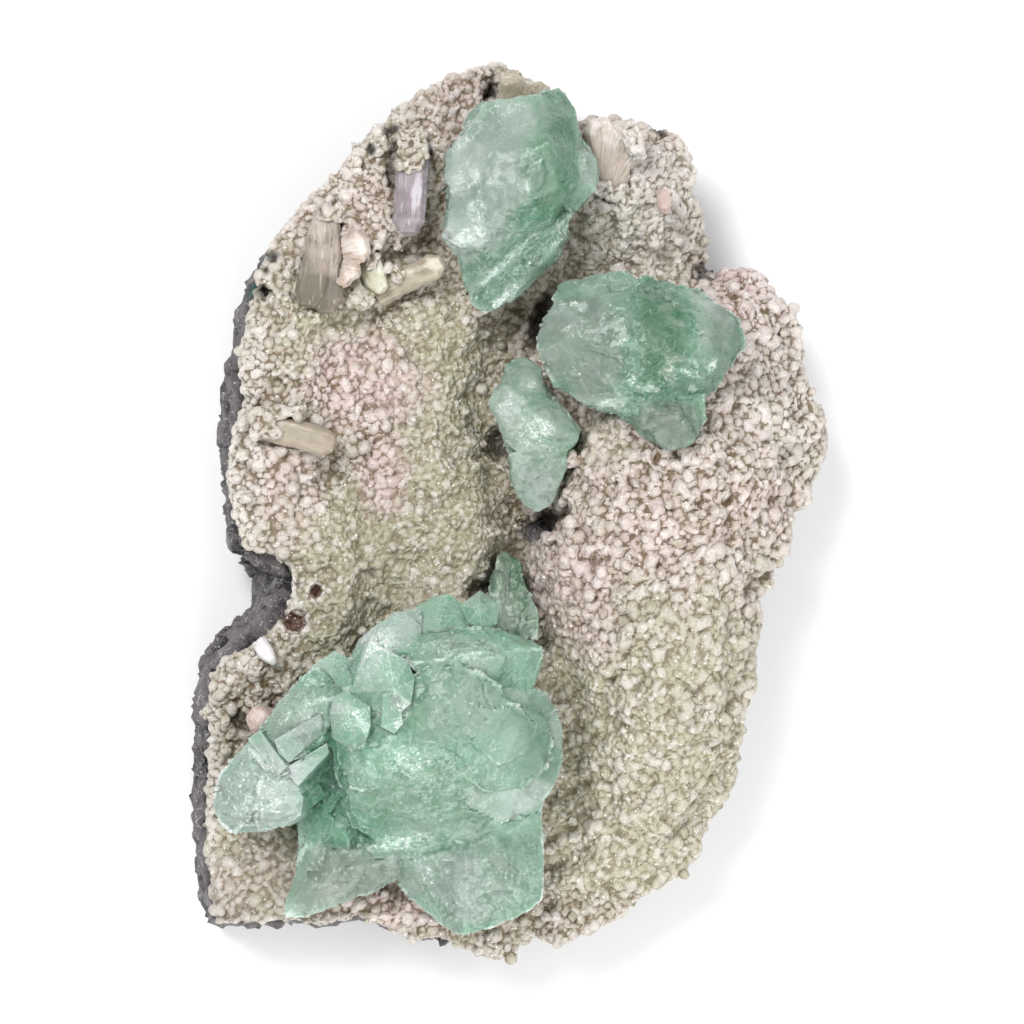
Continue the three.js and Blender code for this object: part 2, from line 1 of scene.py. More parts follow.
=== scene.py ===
"""A green apophyllite cluster on a druse of zeolite grains over a slab of basalt."""

import logging
import math
from collections.abc import Iterator
from contextlib import contextmanager
from dataclasses import dataclass
from enum import Enum

import bpy
import numpy as np
from mathutils import Euler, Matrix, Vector
from mathutils.bvhtree import BVHTree
from mathutils.kdtree import KDTree


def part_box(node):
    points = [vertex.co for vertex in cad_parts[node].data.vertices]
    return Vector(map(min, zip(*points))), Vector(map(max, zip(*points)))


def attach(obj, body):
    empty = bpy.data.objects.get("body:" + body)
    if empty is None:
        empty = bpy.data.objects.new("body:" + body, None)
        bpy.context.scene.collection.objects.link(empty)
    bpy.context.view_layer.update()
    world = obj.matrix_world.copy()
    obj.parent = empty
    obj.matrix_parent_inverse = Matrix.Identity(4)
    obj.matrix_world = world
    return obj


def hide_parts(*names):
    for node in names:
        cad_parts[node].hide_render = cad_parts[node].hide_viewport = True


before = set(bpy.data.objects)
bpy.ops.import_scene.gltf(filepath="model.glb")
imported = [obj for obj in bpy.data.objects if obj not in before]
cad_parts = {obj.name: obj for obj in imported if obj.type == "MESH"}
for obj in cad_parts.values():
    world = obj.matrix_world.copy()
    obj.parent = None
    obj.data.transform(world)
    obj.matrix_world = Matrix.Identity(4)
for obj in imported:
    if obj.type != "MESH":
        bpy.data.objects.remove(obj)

LOG = logging.getLogger("apophyllite_cluster")

MM = 0.001
BODY = "root"

# The view frame: a square of steps, with a size and a middle on the part.
VIEW_STEPS = 1024
STEP = 0.2 * MM
VIEW_MIDDLE = (1.28 * MM, 0.3 * MM)
FOCUS_HEIGHT = 40 * MM
LENS = 200.0
SENSOR = 36.0
CAMERA_RISE = VIEW_STEPS * STEP * LENS / SENSOR
EYE = (*VIEW_MIDDLE, FOCUS_HEIGHT + CAMERA_RISE)

# The drawing that the solids were made from lies this far from the part's own origin.
DRAWING_SHIFT = (1.28 * MM, 0.3 * MM, 0.0)

MERGE_GAP = 0.01 * MM
FLAT_ANGLE = math.radians(2)
SMOOTH_ANGLE = math.radians(24)
DOWN = Vector((0, 0, -1))

Colour = tuple[float, float, float]
Place = tuple[float, float, float]
Span = tuple[float, float]
Array = np.ndarray
Model = tuple[Array, Array]
Piece = bpy.types.Object
Material = bpy.types.Material


# ---- Points and fields ----


def unit(vectors: Array) -> Array:
    """Gives vectors of length one."""
    return vectors / np.maximum(np.linalg.norm(vectors, axis=-1, keepdims=True), 1e-12)


def soft_step(low: float, high: float, values: Array) -> Array:
    """Rises smoothly from 0 at low to 1 at high."""
    part = np.clip((values - low) / (high - low), 0, 1)
    return part * part * (3 - 2 * part)


def view_steps(points: Array) -> Array:
    """Finds where points show in the view frame.

    Args:
        points: Rows of x, y and z in metres.

    Returns:
        Rows of a column and a row of the view frame.
    """
    reach = CAMERA_RISE / (CAMERA_RISE + FOCUS_HEIGHT - points[:, 2])
    across = (points[:, 0] - VIEW_MIDDLE[0]) / STEP * reach + VIEW_STEPS / 2
    down = (VIEW_MIDDLE[1] - points[:, 1]) / STEP * reach + VIEW_STEPS / 2
    return np.stack([across, down], axis=1)


def seat(column: float, row: float, height: float) -> Array:
    """Finds the point at a height above the table that shows at a column and row of the view frame."""
    reach = (CAMERA_RISE + FOCUS_HEIGHT - height) / CAMERA_RISE * STEP
    x = VIEW_MIDDLE[0] + (column - VIEW_STEPS / 2) * reach
    y = VIEW_MIDDLE[1] - (row - VIEW_STEPS / 2) * reach
    return np.array([x, y, height])


class SoftNoise:
    """Smooth noise in space, from -1 to 1, the same on each run."""

    TABLE = 4096
    KEYS = (73856093, 19349663, 83492791)

    def __init__(self, seed: int) -> None:
        """Fills the table of random values."""
        self.values = np.random.default_rng(seed).uniform(-1, 1, self.TABLE)

    def plain(self, points: Array, size: float) -> Array:
        """One layer of noise whose lumps are about size wide."""
        cells = points / size
        low = np.floor(cells).astype(np.int64)
        part = cells - low
        part = part * part * (3 - 2 * part)
        total = np.zeros(len(points))
        for corner in np.ndindex(2, 2, 2):
            key = (low + corner) * self.KEYS
            slot = (key[:, 0] ^ key[:, 1] ^ key[:, 2]) % self.TABLE
            total += self.values[slot] * np.prod(np.where(corner, part, 1 - part), axis=1)
        return total

    def layered(self, points: Array, size: float, layers: int = 3) -> Array:
        """Several layers of noise, each half as wide and half as strong as the last."""
        total = sum(self.plain(points + 7.3 * size * n, size / 2**n) / 2**n for n in range(layers))
        return total / (2 - 0.5 ** (layers - 1))


@dataclass(frozen=True)
class Patch:
    """A soft-edged oval on the part, seen from above, in steps of the view frame."""

    column: float
    row: float
    across: float
    down: float
    strength: float = 1.0
    turn: float = 0.0
    edge: float = 0.5

    def mask(self, points: Array, wobble: Array | float = 0.0) -> Array:
        """Gives how much of the patch each point has.

        Args:
            points: Rows of x, y and z in metres.
            wobble: Noise that roughens the oval's edge.

        Returns:
            A value from 0 to strength for each point.
        """
        away = view_steps(points) - (self.column, self.row)
        angle = math.radians(self.turn)
        along = away[:, 0] * math.cos(angle) - away[:, 1] * math.sin(angle)
        aside = away[:, 0] * math.sin(angle) + away[:, 1] * math.cos(angle)
        reach = np.hypot(along / self.across, aside / self.down) + wobble
        return self.strength * soft_step(1 + self.edge, 1 - self.edge, reach)


Patches = tuple[Patch, ...]


def ovals(*rows: tuple[float, ...]) -> Patches:
    """Makes patches of rows: column, row, across, down, then strength, turn and edge where they differ."""
    return tuple(Patch(*row) for row in rows)


def share_of(patches: Patches, points: Array, wobble: Array | float = 0.0) -> Array:
    """Gives the strongest of several patches at each point."""
    total = np.zeros(len(points))
    for patch in patches:
        total = np.maximum(total, patch.mask(points, wobble))
    return total


# ---- Meshes ----


def choose(piece: Piece) -> None:
    """Selects one object alone and makes it active."""
    bpy.ops.object.select_all(action="DESELECT")
    piece.select_set(True)
    bpy.context.view_layer.objects.active = piece


@contextmanager
def editing(piece: Piece) -> Iterator[None]:
    """Opens a piece in edit mode with all of it selected, and closes it again."""
    choose(piece)
    bpy.ops.object.mode_set(mode="EDIT")
    bpy.ops.mesh.select_all(action="SELECT")
    yield
    bpy.ops.object.mode_set(mode="OBJECT")


def join(piece: Piece, *parts: Piece) -> None:
    """Joins parts into a piece."""
    choose(piece)
    for part in parts:
        part.select_set(True)
    bpy.ops.object.join()


def placed(name: str, data: bpy.types.ID) -> Piece:
    """Makes an object of its data and puts it into the scene."""
    piece = bpy.data.objects.new(name, data)
    bpy.context.scene.collection.objects.link(piece)
    return piece


def apply_modifier(piece: Piece, kind: str, **settings: object) -> None:
    """Adds a modifier with its settings and applies it.

    Args:
        piece: The object that gets it.
        kind: The modifier's type.
        settings: The modifier's properties.
    """
    choose(piece)
    modifier = piece.modifiers.new(kind.lower(), kind)
    for name, value in settings.items():
        setattr(modifier, name, value)
    bpy.ops.object.modifier_apply(modifier=modifier.name)


def copy_of(node: str, name: str) -> Piece:
    """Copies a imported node's solid as a new piece with its corners merged.

    Args:
        node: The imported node's name.
        name: The new piece's name.

    Returns:
        The new object.
    """
    piece = placed(name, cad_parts[node].data.copy())
    piece.data.name = name
    piece.data.materials.clear()
    choose(piece)
    bpy.ops.mesh.customdata_custom_splitnormals_clear()
    with editing(piece):
        bpy.ops.mesh.remove_doubles(threshold=MERGE_GAP)
    return piece


def remesh(piece: Piece, voxel: float) -> None:
    """Gives a piece an even mesh of about the voxel's size."""
    apply_modifier(piece, "REMESH", mode="VOXEL", voxel_size=voxel, adaptivity=0)


def rows_of(items: bpy.types.bpy_prop_collection, key: str, kind: type = float) -> Array:
    """Reads three values of each item of a mesh."""
    values = np.empty(len(items) * 3, kind)
    items.foreach_get(key, values)
    return values.reshape(-1, 3)


def points_of(piece: Piece) -> Array:
    """Reads a mesh's points as rows of x, y and z."""
    return rows_of(piece.data.vertices, "co")


def normals_of(piece: Piece) -> Array:
    """Reads the outward direction at each point of a mesh."""
    return rows_of(piece.data.vertex_normals, "vector")


def triangles_of(piece: Piece) -> Array:
    """Reads a mesh's triangles as rows of three point numbers."""
    piece.data.calc_loop_triangles()
    return rows_of(piece.data.loop_triangles, "vertices", np.int32)


def tree_of(mesh: bpy.types.Mesh) -> BVHTree:
    """Sorts a mesh's faces so that the nearest one is found quickly."""
    return BVHTree.FromPolygons([v.co for v in mesh.vertices], [tuple(f.vertices) for f in mesh.polygons])


def depth_in(tree: BVHTree, point: Array) -> float:
    """Finds how deep a point lies in a closed surface, in metres, below 0 outside it."""
    place = Vector(point)
    hit, normal, _, distance = tree.find_nearest(place)
    return distance if (place - hit).dot(normal) < 0 else -distance


def move_points(piece: Piece, points: Array) -> None:
    """Writes a mesh's points."""
    piece.data.vertices.foreach_set("co", points.astype(np.float32).ravel())
    piece.data.update()


def paint(piece: Piece, **fields: Array) -> None:
    """Keeps a value or a vector at each point of a mesh, for its material to read.

    Args:
        piece: The object.
        fields: Arrays by name, one value or one row of three for each point.
    """
    for name, values in fields.items():
        kind, key = ("FLOAT_VECTOR", "vector") if values.ndim == 2 else ("FLOAT", "value")
        layer = piece.data.attributes.new(name, kind, "POINT")
        layer.data.foreach_set(key, values.astype(np.float32).ravel())


def shade(piece: Piece, smooth: bool = True) -> None:
    """Sets smooth or flat shading on all of a piece's faces."""
    piece.data.polygons.foreach_set("use_smooth", [smooth] * len(piece.data.polygons))
    piece.data.update()


def averaged(piece: Piece, values: Array, rounds: int) -> Array:
    """Averages values with their neighbours' along a mesh's edges, several times.

    Args:
        piece: The object.
        values: A row for each of its points.
        rounds: How many times.

    Returns:
        The smoothed rows.
    """
    ends = np.empty(len(piece.data.edges) * 2, np.int32)
    piece.data.edges.foreach_get("vertices", ends)
    first, second = ends.reshape(-1, 2).T
    count = np.maximum(np.bincount(ends, minlength=len(values)), 1)
    for _ in range(rounds):
        sums = [
            np.bincount(first, column[second], len(values)) + np.bincount(second, column[first], len(values))
            for column in values.T
        ]
        values = np.stack(sums, axis=1) / count[:, None]
    return values


def relief_of(piece: Piece, rounds: int) -> Array:
    """Finds how far each point stands out from its surroundings, which are wider for more rounds."""
    points = points_of(piece)
    return ((points - averaged(piece, points, rounds)) * normals_of(piece)).sum(1)


def settle(piece: Piece, slot: str, material: Material, *nodes: str) -> Piece:
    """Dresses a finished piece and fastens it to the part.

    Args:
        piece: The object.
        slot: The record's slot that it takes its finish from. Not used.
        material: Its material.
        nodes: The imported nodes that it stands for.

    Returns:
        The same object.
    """
    piece.data.materials.clear()
    piece.data.materials.append(material)
    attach(piece, BODY)
    if nodes:
        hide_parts(*nodes)
    LOG.info("%s: %d faces", piece.name, len(piece.data.polygons))
    return piece


def mesh_from(name: str, points: Array, triangles: Array) -> Piece:
    """Makes an object from arrays.

    Args:
        name: The object's name.
        points: Rows of x, y and z.
        triangles: Rows of three point numbers.

    Returns:
        The new object.
    """
    mesh = bpy.data.meshes.new(name)
    mesh.vertices.add(len(points))
    mesh.vertices.foreach_set("co", points.astype(np.float32).ravel())
    mesh.loops.add(triangles.size)
    mesh.loops.foreach_set("vertex_index", triangles.astype(np.int32).ravel())
    mesh.polygons.add(len(triangles))
    mesh.polygons.foreach_set("loop_start", np.arange(0, triangles.size, 3, dtype=np.int32))
    mesh.update(calc_edges=True)
    return placed(name, mesh)


def cut_cube(affect: str, offset: float) -> Model:
    """Models a cube, one unit wide, with its edges or its corners cut off.

    Args:
        affect: What is cut off, EDGES or VERTICES.
        offset: How much is cut off.

    Returns:
        Its points and its triangles.
    """
    bpy.ops.object.select_all(action="DESELECT")
    bpy.ops.mesh.primitive_cube_add(size=1.0)
    cube = bpy.context.active_object
    with editing(cube):
        bpy.ops.mesh.bevel(offset=offset, segments=1, affect=affect)
        bpy.ops.mesh.quads_convert_to_tris(ngon_method="BEAUTY")
    points = points_of(cube)
    triangles = np.array([tuple(face.vertices) for face in cube.data.polygons])
    bpy.data.objects.remove(cube)
    return points, triangles


def copies(model: Model, scale: Array, up: Array, other: Array, middle: Array) -> Model:
    """Copies a model to many places.

    Args:
        model: Its points and its triangles.
        scale: Each copy's size along its three axes.
        up: Each copy's third axis.
        other: A direction for each copy that its first axis is square to.
        middle: Each copy's middle.

    Returns:
        A block of points for each copy, and the triangles of all.
    """
    shape, faces = model
    side = unit(np.cross(up, other))
    axes = np.stack([side, np.cross(up, side), up], axis=1)
    points = np.einsum("nvk,nkc->nvc", shape[None] * scale[:, None], axes) + middle[:, None]
    first = np.arange(len(middle)) * len(shape)
    return points, (faces[None] + first[:, None, None]).reshape(-1, 3)


class Ground:
    """The surface that crystals stand on, as it shows from above."""

    def __init__(self, piece: Piece) -> None:
        """Keeps the piece's surface as it is now."""
        self.tree = tree_of(piece.data)

    def height(self, column: float, row: float) -> float:
        """Finds the surface's height at a column and row of the view frame, in metres."""
        eye = Vector(EYE)
        aim = Vector(seat(column, row, 0)) - eye
        hit = self.tree.ray_cast(eye, aim.normalized())[0]
        if hit is None:
            hit = self.tree.find_nearest(Vector(seat(column, row, FOCUS_HEIGHT)))[0]
        return hit.z


def cells_of(places: Array, size: float, seed: int) -> tuple[Array, Array]:
    """Divides space into irregular cells and finds each place's cell.

    Args:
        places: Rows of three.
        size: About how wide a cell is.
        seed: The seed of the cells' middles.

    Returns:
        The number of each place's cell, counted from 0, and its offset from the cell's middle, in sizes.
    """
    jitter = np.random.default_rng(seed).random((SoftNoise.TABLE, 3))
    scaled = places / size
    home = np.floor(scaled).astype(np.int64)
    nearest = np.full(len(places), np.inf)
    offsets = np.zeros(places.shape)
    cell = np.zeros(len(places), np.int64)
    for offset in np.ndindex(3, 3, 3):
        other = home + offset - 1
        keys = other * SoftNoise.KEYS
        middle = other + jitter[(keys[:, 0] ^ keys[:, 1] ^ keys[:, 2]) % SoftNoise.TABLE]
        away = ((scaled - middle) ** 2).sum(1)
        closer = away < nearest
        nearest[closer] = away[closer]
        offsets[closer] = (scaled - middle)[closer]
        cell[closer] = keys[closer].sum(1)
    return np.unique(cell, return_inverse=True)[1], offsets


@dataclass(frozen=True)
class Breakage:
    """How a surface breaks into flat blocks: their size, lean and steps, and how much of that it takes on.

    Push sets how far apart the blocks' cells lie for faces that look different ways, and cap sets how far
    a point may move. Both are counted in sizes.
    """

    size: float
    lean: float
    step: float
    hold: float = 0.7
    push: float = 1.3
    cap: float = 0.2

    def act(self, points: Array, normals: Array, places: Array, seed: int) -> Array:
        """Flattens a surface into leaning blocks.

        Args:
            points: The surface's points.
            normals: Its outward directions.
            places: Where the points lie in the space that the blocks divide.
            seed: The seed of the random choices.

        Returns:
            The moved points.
        """
        chance = np.random.default_rng(seed)
        block, _ = cells_of(places + normals * self.size * self.push, self.size, seed)
        count = block.max() + 1
        weight = np.maximum(np.bincount(block), 1)[:, None]
        middle, facing = (
            np.stack([np.bincount(block, column) for column in rows.T], 1) / weight
            for rows in (points, normals)
        )
        facing = unit(unit(facing) + chance.normal(0, self.lean, (count, 3)))
        middle += facing * chance.uniform(-self.step, self.step, (count, 1))
        height = ((middle[block] - points) * facing[block]).sum(1)
        limit = self.size * self.cap
        return points + facing[block] * (np.clip(height, -limit, limit) * self.hold)[:, None]


# ---- Materials ----


class Wire:
    """A socket's value in a material, with the arithmetic that a finish needs."""

    def __init__(self, bench: "Bench", socket: bpy.types.NodeSocket) -> None:
        """Keeps the socket and the bench that it belongs to."""
        self.bench = bench
        self.socket = socket

    def _math(self, operation: str, *values: "Wire | float", clamp: bool = False) -> "Wire":
        """Adds one Math node."""
        settings = {"operation": operation, "use_clamp": clamp}
        return self.bench.node("ShaderNodeMath", settings, dict(enumerate(values)))

    def __add__(self, other: "Wire | float") -> "Wire":
        """Adds."""
        return self._math("ADD", self, other)

    __radd__ = __add__

    def __sub__(self, other: "Wire | float") -> "Wire":
        """Subtracts."""
        return self._math("SUBTRACT", self, other)

    def __rsub__(self, other: "Wire | float") -> "Wire":
        """Subtracts from a number."""
        return self._math("SUBTRACT", other, self)

    def __mul__(self, other: "Wire | float") -> "Wire":
        """Multiplies."""
        return self._math("MULTIPLY", self, other)

    __rmul__ = __mul__

    def clamped(self) -> "Wire":
        """Holds the value between 0 and 1."""
        return self._math("ADD", self, 0.0, clamp=True)

    def rise(self, low: float, high: float) -> "Wire":
        """Rises smoothly from 0 at low to 1 at high."""
        settings = {"interpolation_type": "SMOOTHSTEP"}
        return self.bench.node("ShaderNodeMapRange", settings, {"Value": self, 1: low, 2: high})


class Bench:
    """A new material and the one way in which nodes are added to it."""

    def __init__(self, name: str) -> None:
        """Makes the empty material."""
        self.material = bpy.data.materials.new(name)
        self.material.use_nodes = True
        self.tree = self.material.node_tree
        self.tree.nodes.clear()
        self.colour: Wire | Colour = (0.0, 0.0, 0.0)

    def node(
        self,
        kind: str,
        settings: dict[str, object] | None = None,
        sockets: "dict[str | int, Wire | float | tuple] | None" = None,
        output: str | int = 0,
    ) -> Wire:
        """Adds a node.

        Args:
            kind: The node's type.
            settings: Its properties.
            sockets: Values or wires by the input's name or number.
            output: The output that is handed back.

        Returns:
            The output's wire.
        """
        node = self.tree.nodes.new(kind)
        for name, value in (settings or {}).items():
            setattr(node, name, value)
        for name, value in (sockets or {}).items():
            if isinstance(value, Wire):
                self.tree.links.new(value.socket, node.inputs[name])
            elif isinstance(value, tuple) and len(node.inputs[name].default_value) == 4:
                node.inputs[name].default_value = (*value, 1)
            else:
                node.inputs[name].default_value = value
        return Wire(self, node.outputs[output])

    def field(self, name: str) -> Wire:
        """Reads a value that the mesh keeps at its points."""
        return self.node("ShaderNodeAttribute", {"attribute_name": name}, output="Fac")

    def place(self) -> Wire:
        """Reads the place on the object."""
        return self.node("ShaderNodeTexCoord", output="Object")

    def direction(self, name: str) -> Wire:
        """Reads a vector that the mesh keeps at its points."""
        return self.node("ShaderNodeAttribute", {"attribute_name": name}, output="Vector")

    def mottle(self, place: Wire, size: float, detail: float = 3.0, roughness: float = 0.55) -> Wire:
        """Adds noise whose blotches are about size wide."""
        sockets = {"Vector": place, "Scale": 1 / size, "Detail": detail, "Roughness": roughness}
        return self.node("ShaderNodeTexNoise", {}, sockets)

    def blend(
        self, share: Wire | float, first: Wire | Colour, second: Wire | Colour, how: str = "MIX"
    ) -> Wire:
        """Mixes two colours."""
        settings = {"data_type": "RGBA", "blend_type": how, "clamp_factor": True}
        return self.node("ShaderNodeMix", settings, {0: share, 6: first, 7: second}, output=2)

    def lay(self, share: Wire | float, colour: Colour, how: str = "MIX") -> None:
        """Lays a share of a colour over the finish's colour so far."""
        self.colour = self.blend(share, self.colour, colour, how)

    def warp(self, place: Wire, noise: Wire, amount: float) -> Wire:
        """Shifts a place by noise."""
        return self.vector("MULTIPLY_ADD", noise, (amount,) * 3, place)

    def vector(self, operation: str, *values: Wire | tuple) -> Wire:
        """Adds a Vector Math node."""
        return self.node("ShaderNodeVectorMath", {"operation": operation}, dict(enumerate(values)))

    def voronoi(self, place: Wire, size: float, feature: str = "F1", output: str | int = 0) -> Wire:
        """Divides space into cells about size wide."""
        sockets = {"Vector": place, "Scale": 1 / size}
        return self.node("ShaderNodeTexVoronoi", {"feature": feature}, sockets, output)

    def cells(self, place: Wire, size: float) -> Wire:
        """Gives each cell a random colour."""
        return self.voronoi(place, size, output="Color")

    def seams(self, place: Wire, size: float) -> Wire:
        """Gives how far the seam between the same cells is, in sizes."""
        return self.voronoi(place, size, "DISTANCE_TO_EDGE")

    def part(self, colour: Wire, channel: int) -> Wire:
        """Takes one channel of a colour."""
        return self.node("ShaderNodeSeparateColor", {}, {0: colour}, output=channel)

    def tipped(self, normal: Wire, cells: Wire, amount: float) -> Wire:
        """Tips a normal by a random amount in each cell."""
        tilt = self.vector("MULTIPLY_ADD", cells, (amount,) * 3, (-amount / 2,) * 3)
        return self.vector("NORMALIZE", self.vector("ADD", normal, tilt))

    def bump(self, height: Wire, strength: float, distance: float) -> Wire:
        """Turns a height into a normal."""
        sockets = {"Height": height, "Strength": strength, "Distance": distance}
        return self.node("ShaderNodeBump", {}, sockets, "Normal")

    def principled(self, **sockets: Wire | float | tuple) -> Wire:
        """Adds a surface shader. Its sockets are named with low lines for spaces."""
        named = {name.replace("_", " "): value for name, value in sockets.items()}
        return self.node("ShaderNodeBsdfPrincipled", {}, named)

    def either(self, share: Wire | float, first: Wire, second: Wire) -> Wire:
        """Mixes two surface shaders."""
        return self.node("ShaderNodeMixShader", {}, {0: share, 1: first, 2: second})

    def finish(self, surface: Wire, volume: Wire | None = None) -> Material:
        """Joins the surface, and the inside if there is one, to the output."""
        sockets = {"Surface": surface} | ({"Volume": volume} if volume else {})
        output = self.tree.nodes.new("ShaderNodeOutputMaterial")
        for name, wire in sockets.items():
            self.tree.links.new(wire.socket, output.inputs[name])
        return self.material


@dataclass(frozen=True)
class BasaltFinish:
    """Dark, finely grained basalt with pale flecks and traces of rust and blue-green clay."""

    dark: Colour = (0.026, 0.024, 0.028)
    light: Colour = (0.165, 0.150, 0.155)
    rust: Colour = (0.120, 0.055, 0.035)
    clay: Colour = (0.012, 0.070, 0.065)
    fleck: Colour = (0.55, 0.53, 0.52)
    hair: float = 2.2 * MM
    grain: float = 0.35 * MM

    def make(self) -> Material:
        """Builds the material."""
        bench = Bench("basalt")
        place = bench.place()
        coarse = bench.mottle(place, 5 * MM, 4, 0.65)
        fine = bench.mottle(place, 0.5 * MM, 4, 0.75)
        grains = bench.cells(place, self.grain)
        # The relief term paints ridges lighter and hollows darker: painted light and painted shade.
        tone = coarse * 0.5 + fine * 0.4 + bench.part(grains, 1) * 0.1 + bench.field("relief") * 0.14
        bench.colour = bench.blend(tone.rise(0.36, 0.66), self.dark, self.light)
        bench.lay(bench.mottle(place, 5 * MM, 3).rise(0.62, 0.74) * 0.4, self.rust)
        hair = (0.06 - bench.seams(bench.warp(place, fine, 1.2 * MM), self.hair)).rise(0.0, 0.05)
        hair = hair * (bench.mottle(place, 3 * MM, 3) + fine * 0.4).rise(0.72, 0.86)
        bench.lay(hair * 0.7, self.fleck)
        bench.lay(bench.part(grains, 0).rise(0.955, 0.97) * 0.7, self.fleck)
        bench.lay(bench.field("lining"), self.fleck)
        bench.lay(bench.field("rust"), self.rust)
        bench.lay(bench.field("clay"), self.clay)
        normal = bench.tipped(bench.bump(fine * 0.5 + coarse * 0.5, 1.0, 0.9 * MM), grains, 0.5)
        surface = bench.principled(Base_Color=bench.colour, Roughness=0.3 + fine * 0.5, Normal=normal)
        return bench.finish(surface)


@dataclass(frozen=True)
class DruseFinish:
    """Cream, pink and olive zeolite, darker and greener between the grains in painted shade, lighter on the
    knob tops in a painted highlight.
    """

    cream: Colour = (0.402, 0.357, 0.306)
    pink: Colour = (0.56, 0.415, 0.415)
    olive: Colour = (0.36, 0.342, 0.238)
    shade: Colour = (0.15, 0.10, 0.045)
    white: Colour = (0.66, 0.625, 0.59)
    painted_hollow_shade: Colour = (0.015, 0.012, 0.008)
    pit: Colour = (0.085, 0.035, 0.022)
    painted_glint: Colour = (0.95, 0.94, 0.92)
    facet: float = 0.3 * MM
    grit: float = 0.75 * MM
    winking: float = 0.982
    tilt: float = 0.55

    def make(self) -> Material:
        """Builds the material."""
        bench = Bench("druse")
        place = bench.place()
        fine = bench.mottle(place, 0.8 * MM, 3, 0.65)
        broad = bench.mottle(place, 3.5 * MM, 3)
        tone = bench.field("tone")
        olive = bench.field("olive")
        bench.colour = bench.blend(olive, self.cream, self.olive)
        bench.lay(bench.field("pink"), self.pink)
        bench.lay((bench.field("white") + (broad - 0.5)).rise(0.1, 0.9) * 0.7, self.white)
        bench.lay((tone + (broad - 0.5) - 0.5).rise(0.0, 0.5) * 0.5, self.white)
        bench.lay((0.45 - tone + (broad - 0.5)).rise(0.0, 0.45) * 0.45, self.olive)
        bench.lay(fine.rise(0.50, 0.68) * 0.3, self.white)
        # The top field paints a highlight on the knob tops and shade down in the gaps between them.
        top = bench.field("top") + (fine - 0.5) * 0.4
        bench.lay(top.rise(0.55, 1.0) * 0.35, self.white)
        bench.lay((0.5 - top).rise(0.0, 0.5) * (0.95 - olive * 0.45), self.shade)
        bench.lay(bench.field("pit") * 0.95, self.pit)
        # Painted shade: the deep hollows are laid nearly black.
        bench.lay(bench.field("hollow"), self.painted_hollow_shade)
        # Painted glints: a few small facet cells laid near-white and glossy.
        facets = bench.cells(place, self.facet)
        wink = bench.part(facets, 0) + (broad - 0.5) * 0.04
        wink = wink.rise(self.winking, self.winking + 0.01) * (1 - bench.field("hollow"))
        bench.lay(wink * 0.75, self.painted_glint)
        rough = fine * 0.6 - bench.voronoi(bench.warp(place, fine, 0.5 * MM), self.grit) * 0.8
        normal = bench.tipped(bench.bump(rough, 0.8, 0.4 * MM), facets, self.tilt)
        surface = bench.principled(
            Base_Color=bench.colour,
            Roughness=0.5 - wink * 0.4 - (fine - 0.5) * 0.3,
            Subsurface_Weight=0.3,
            Subsurface_Radius=(1.2, 1.0, 0.75),
            Subsurface_Scale=0.8 * MM,
            IOR=1.5,
            Normal=normal,
        )
        return bench.finish(surface)


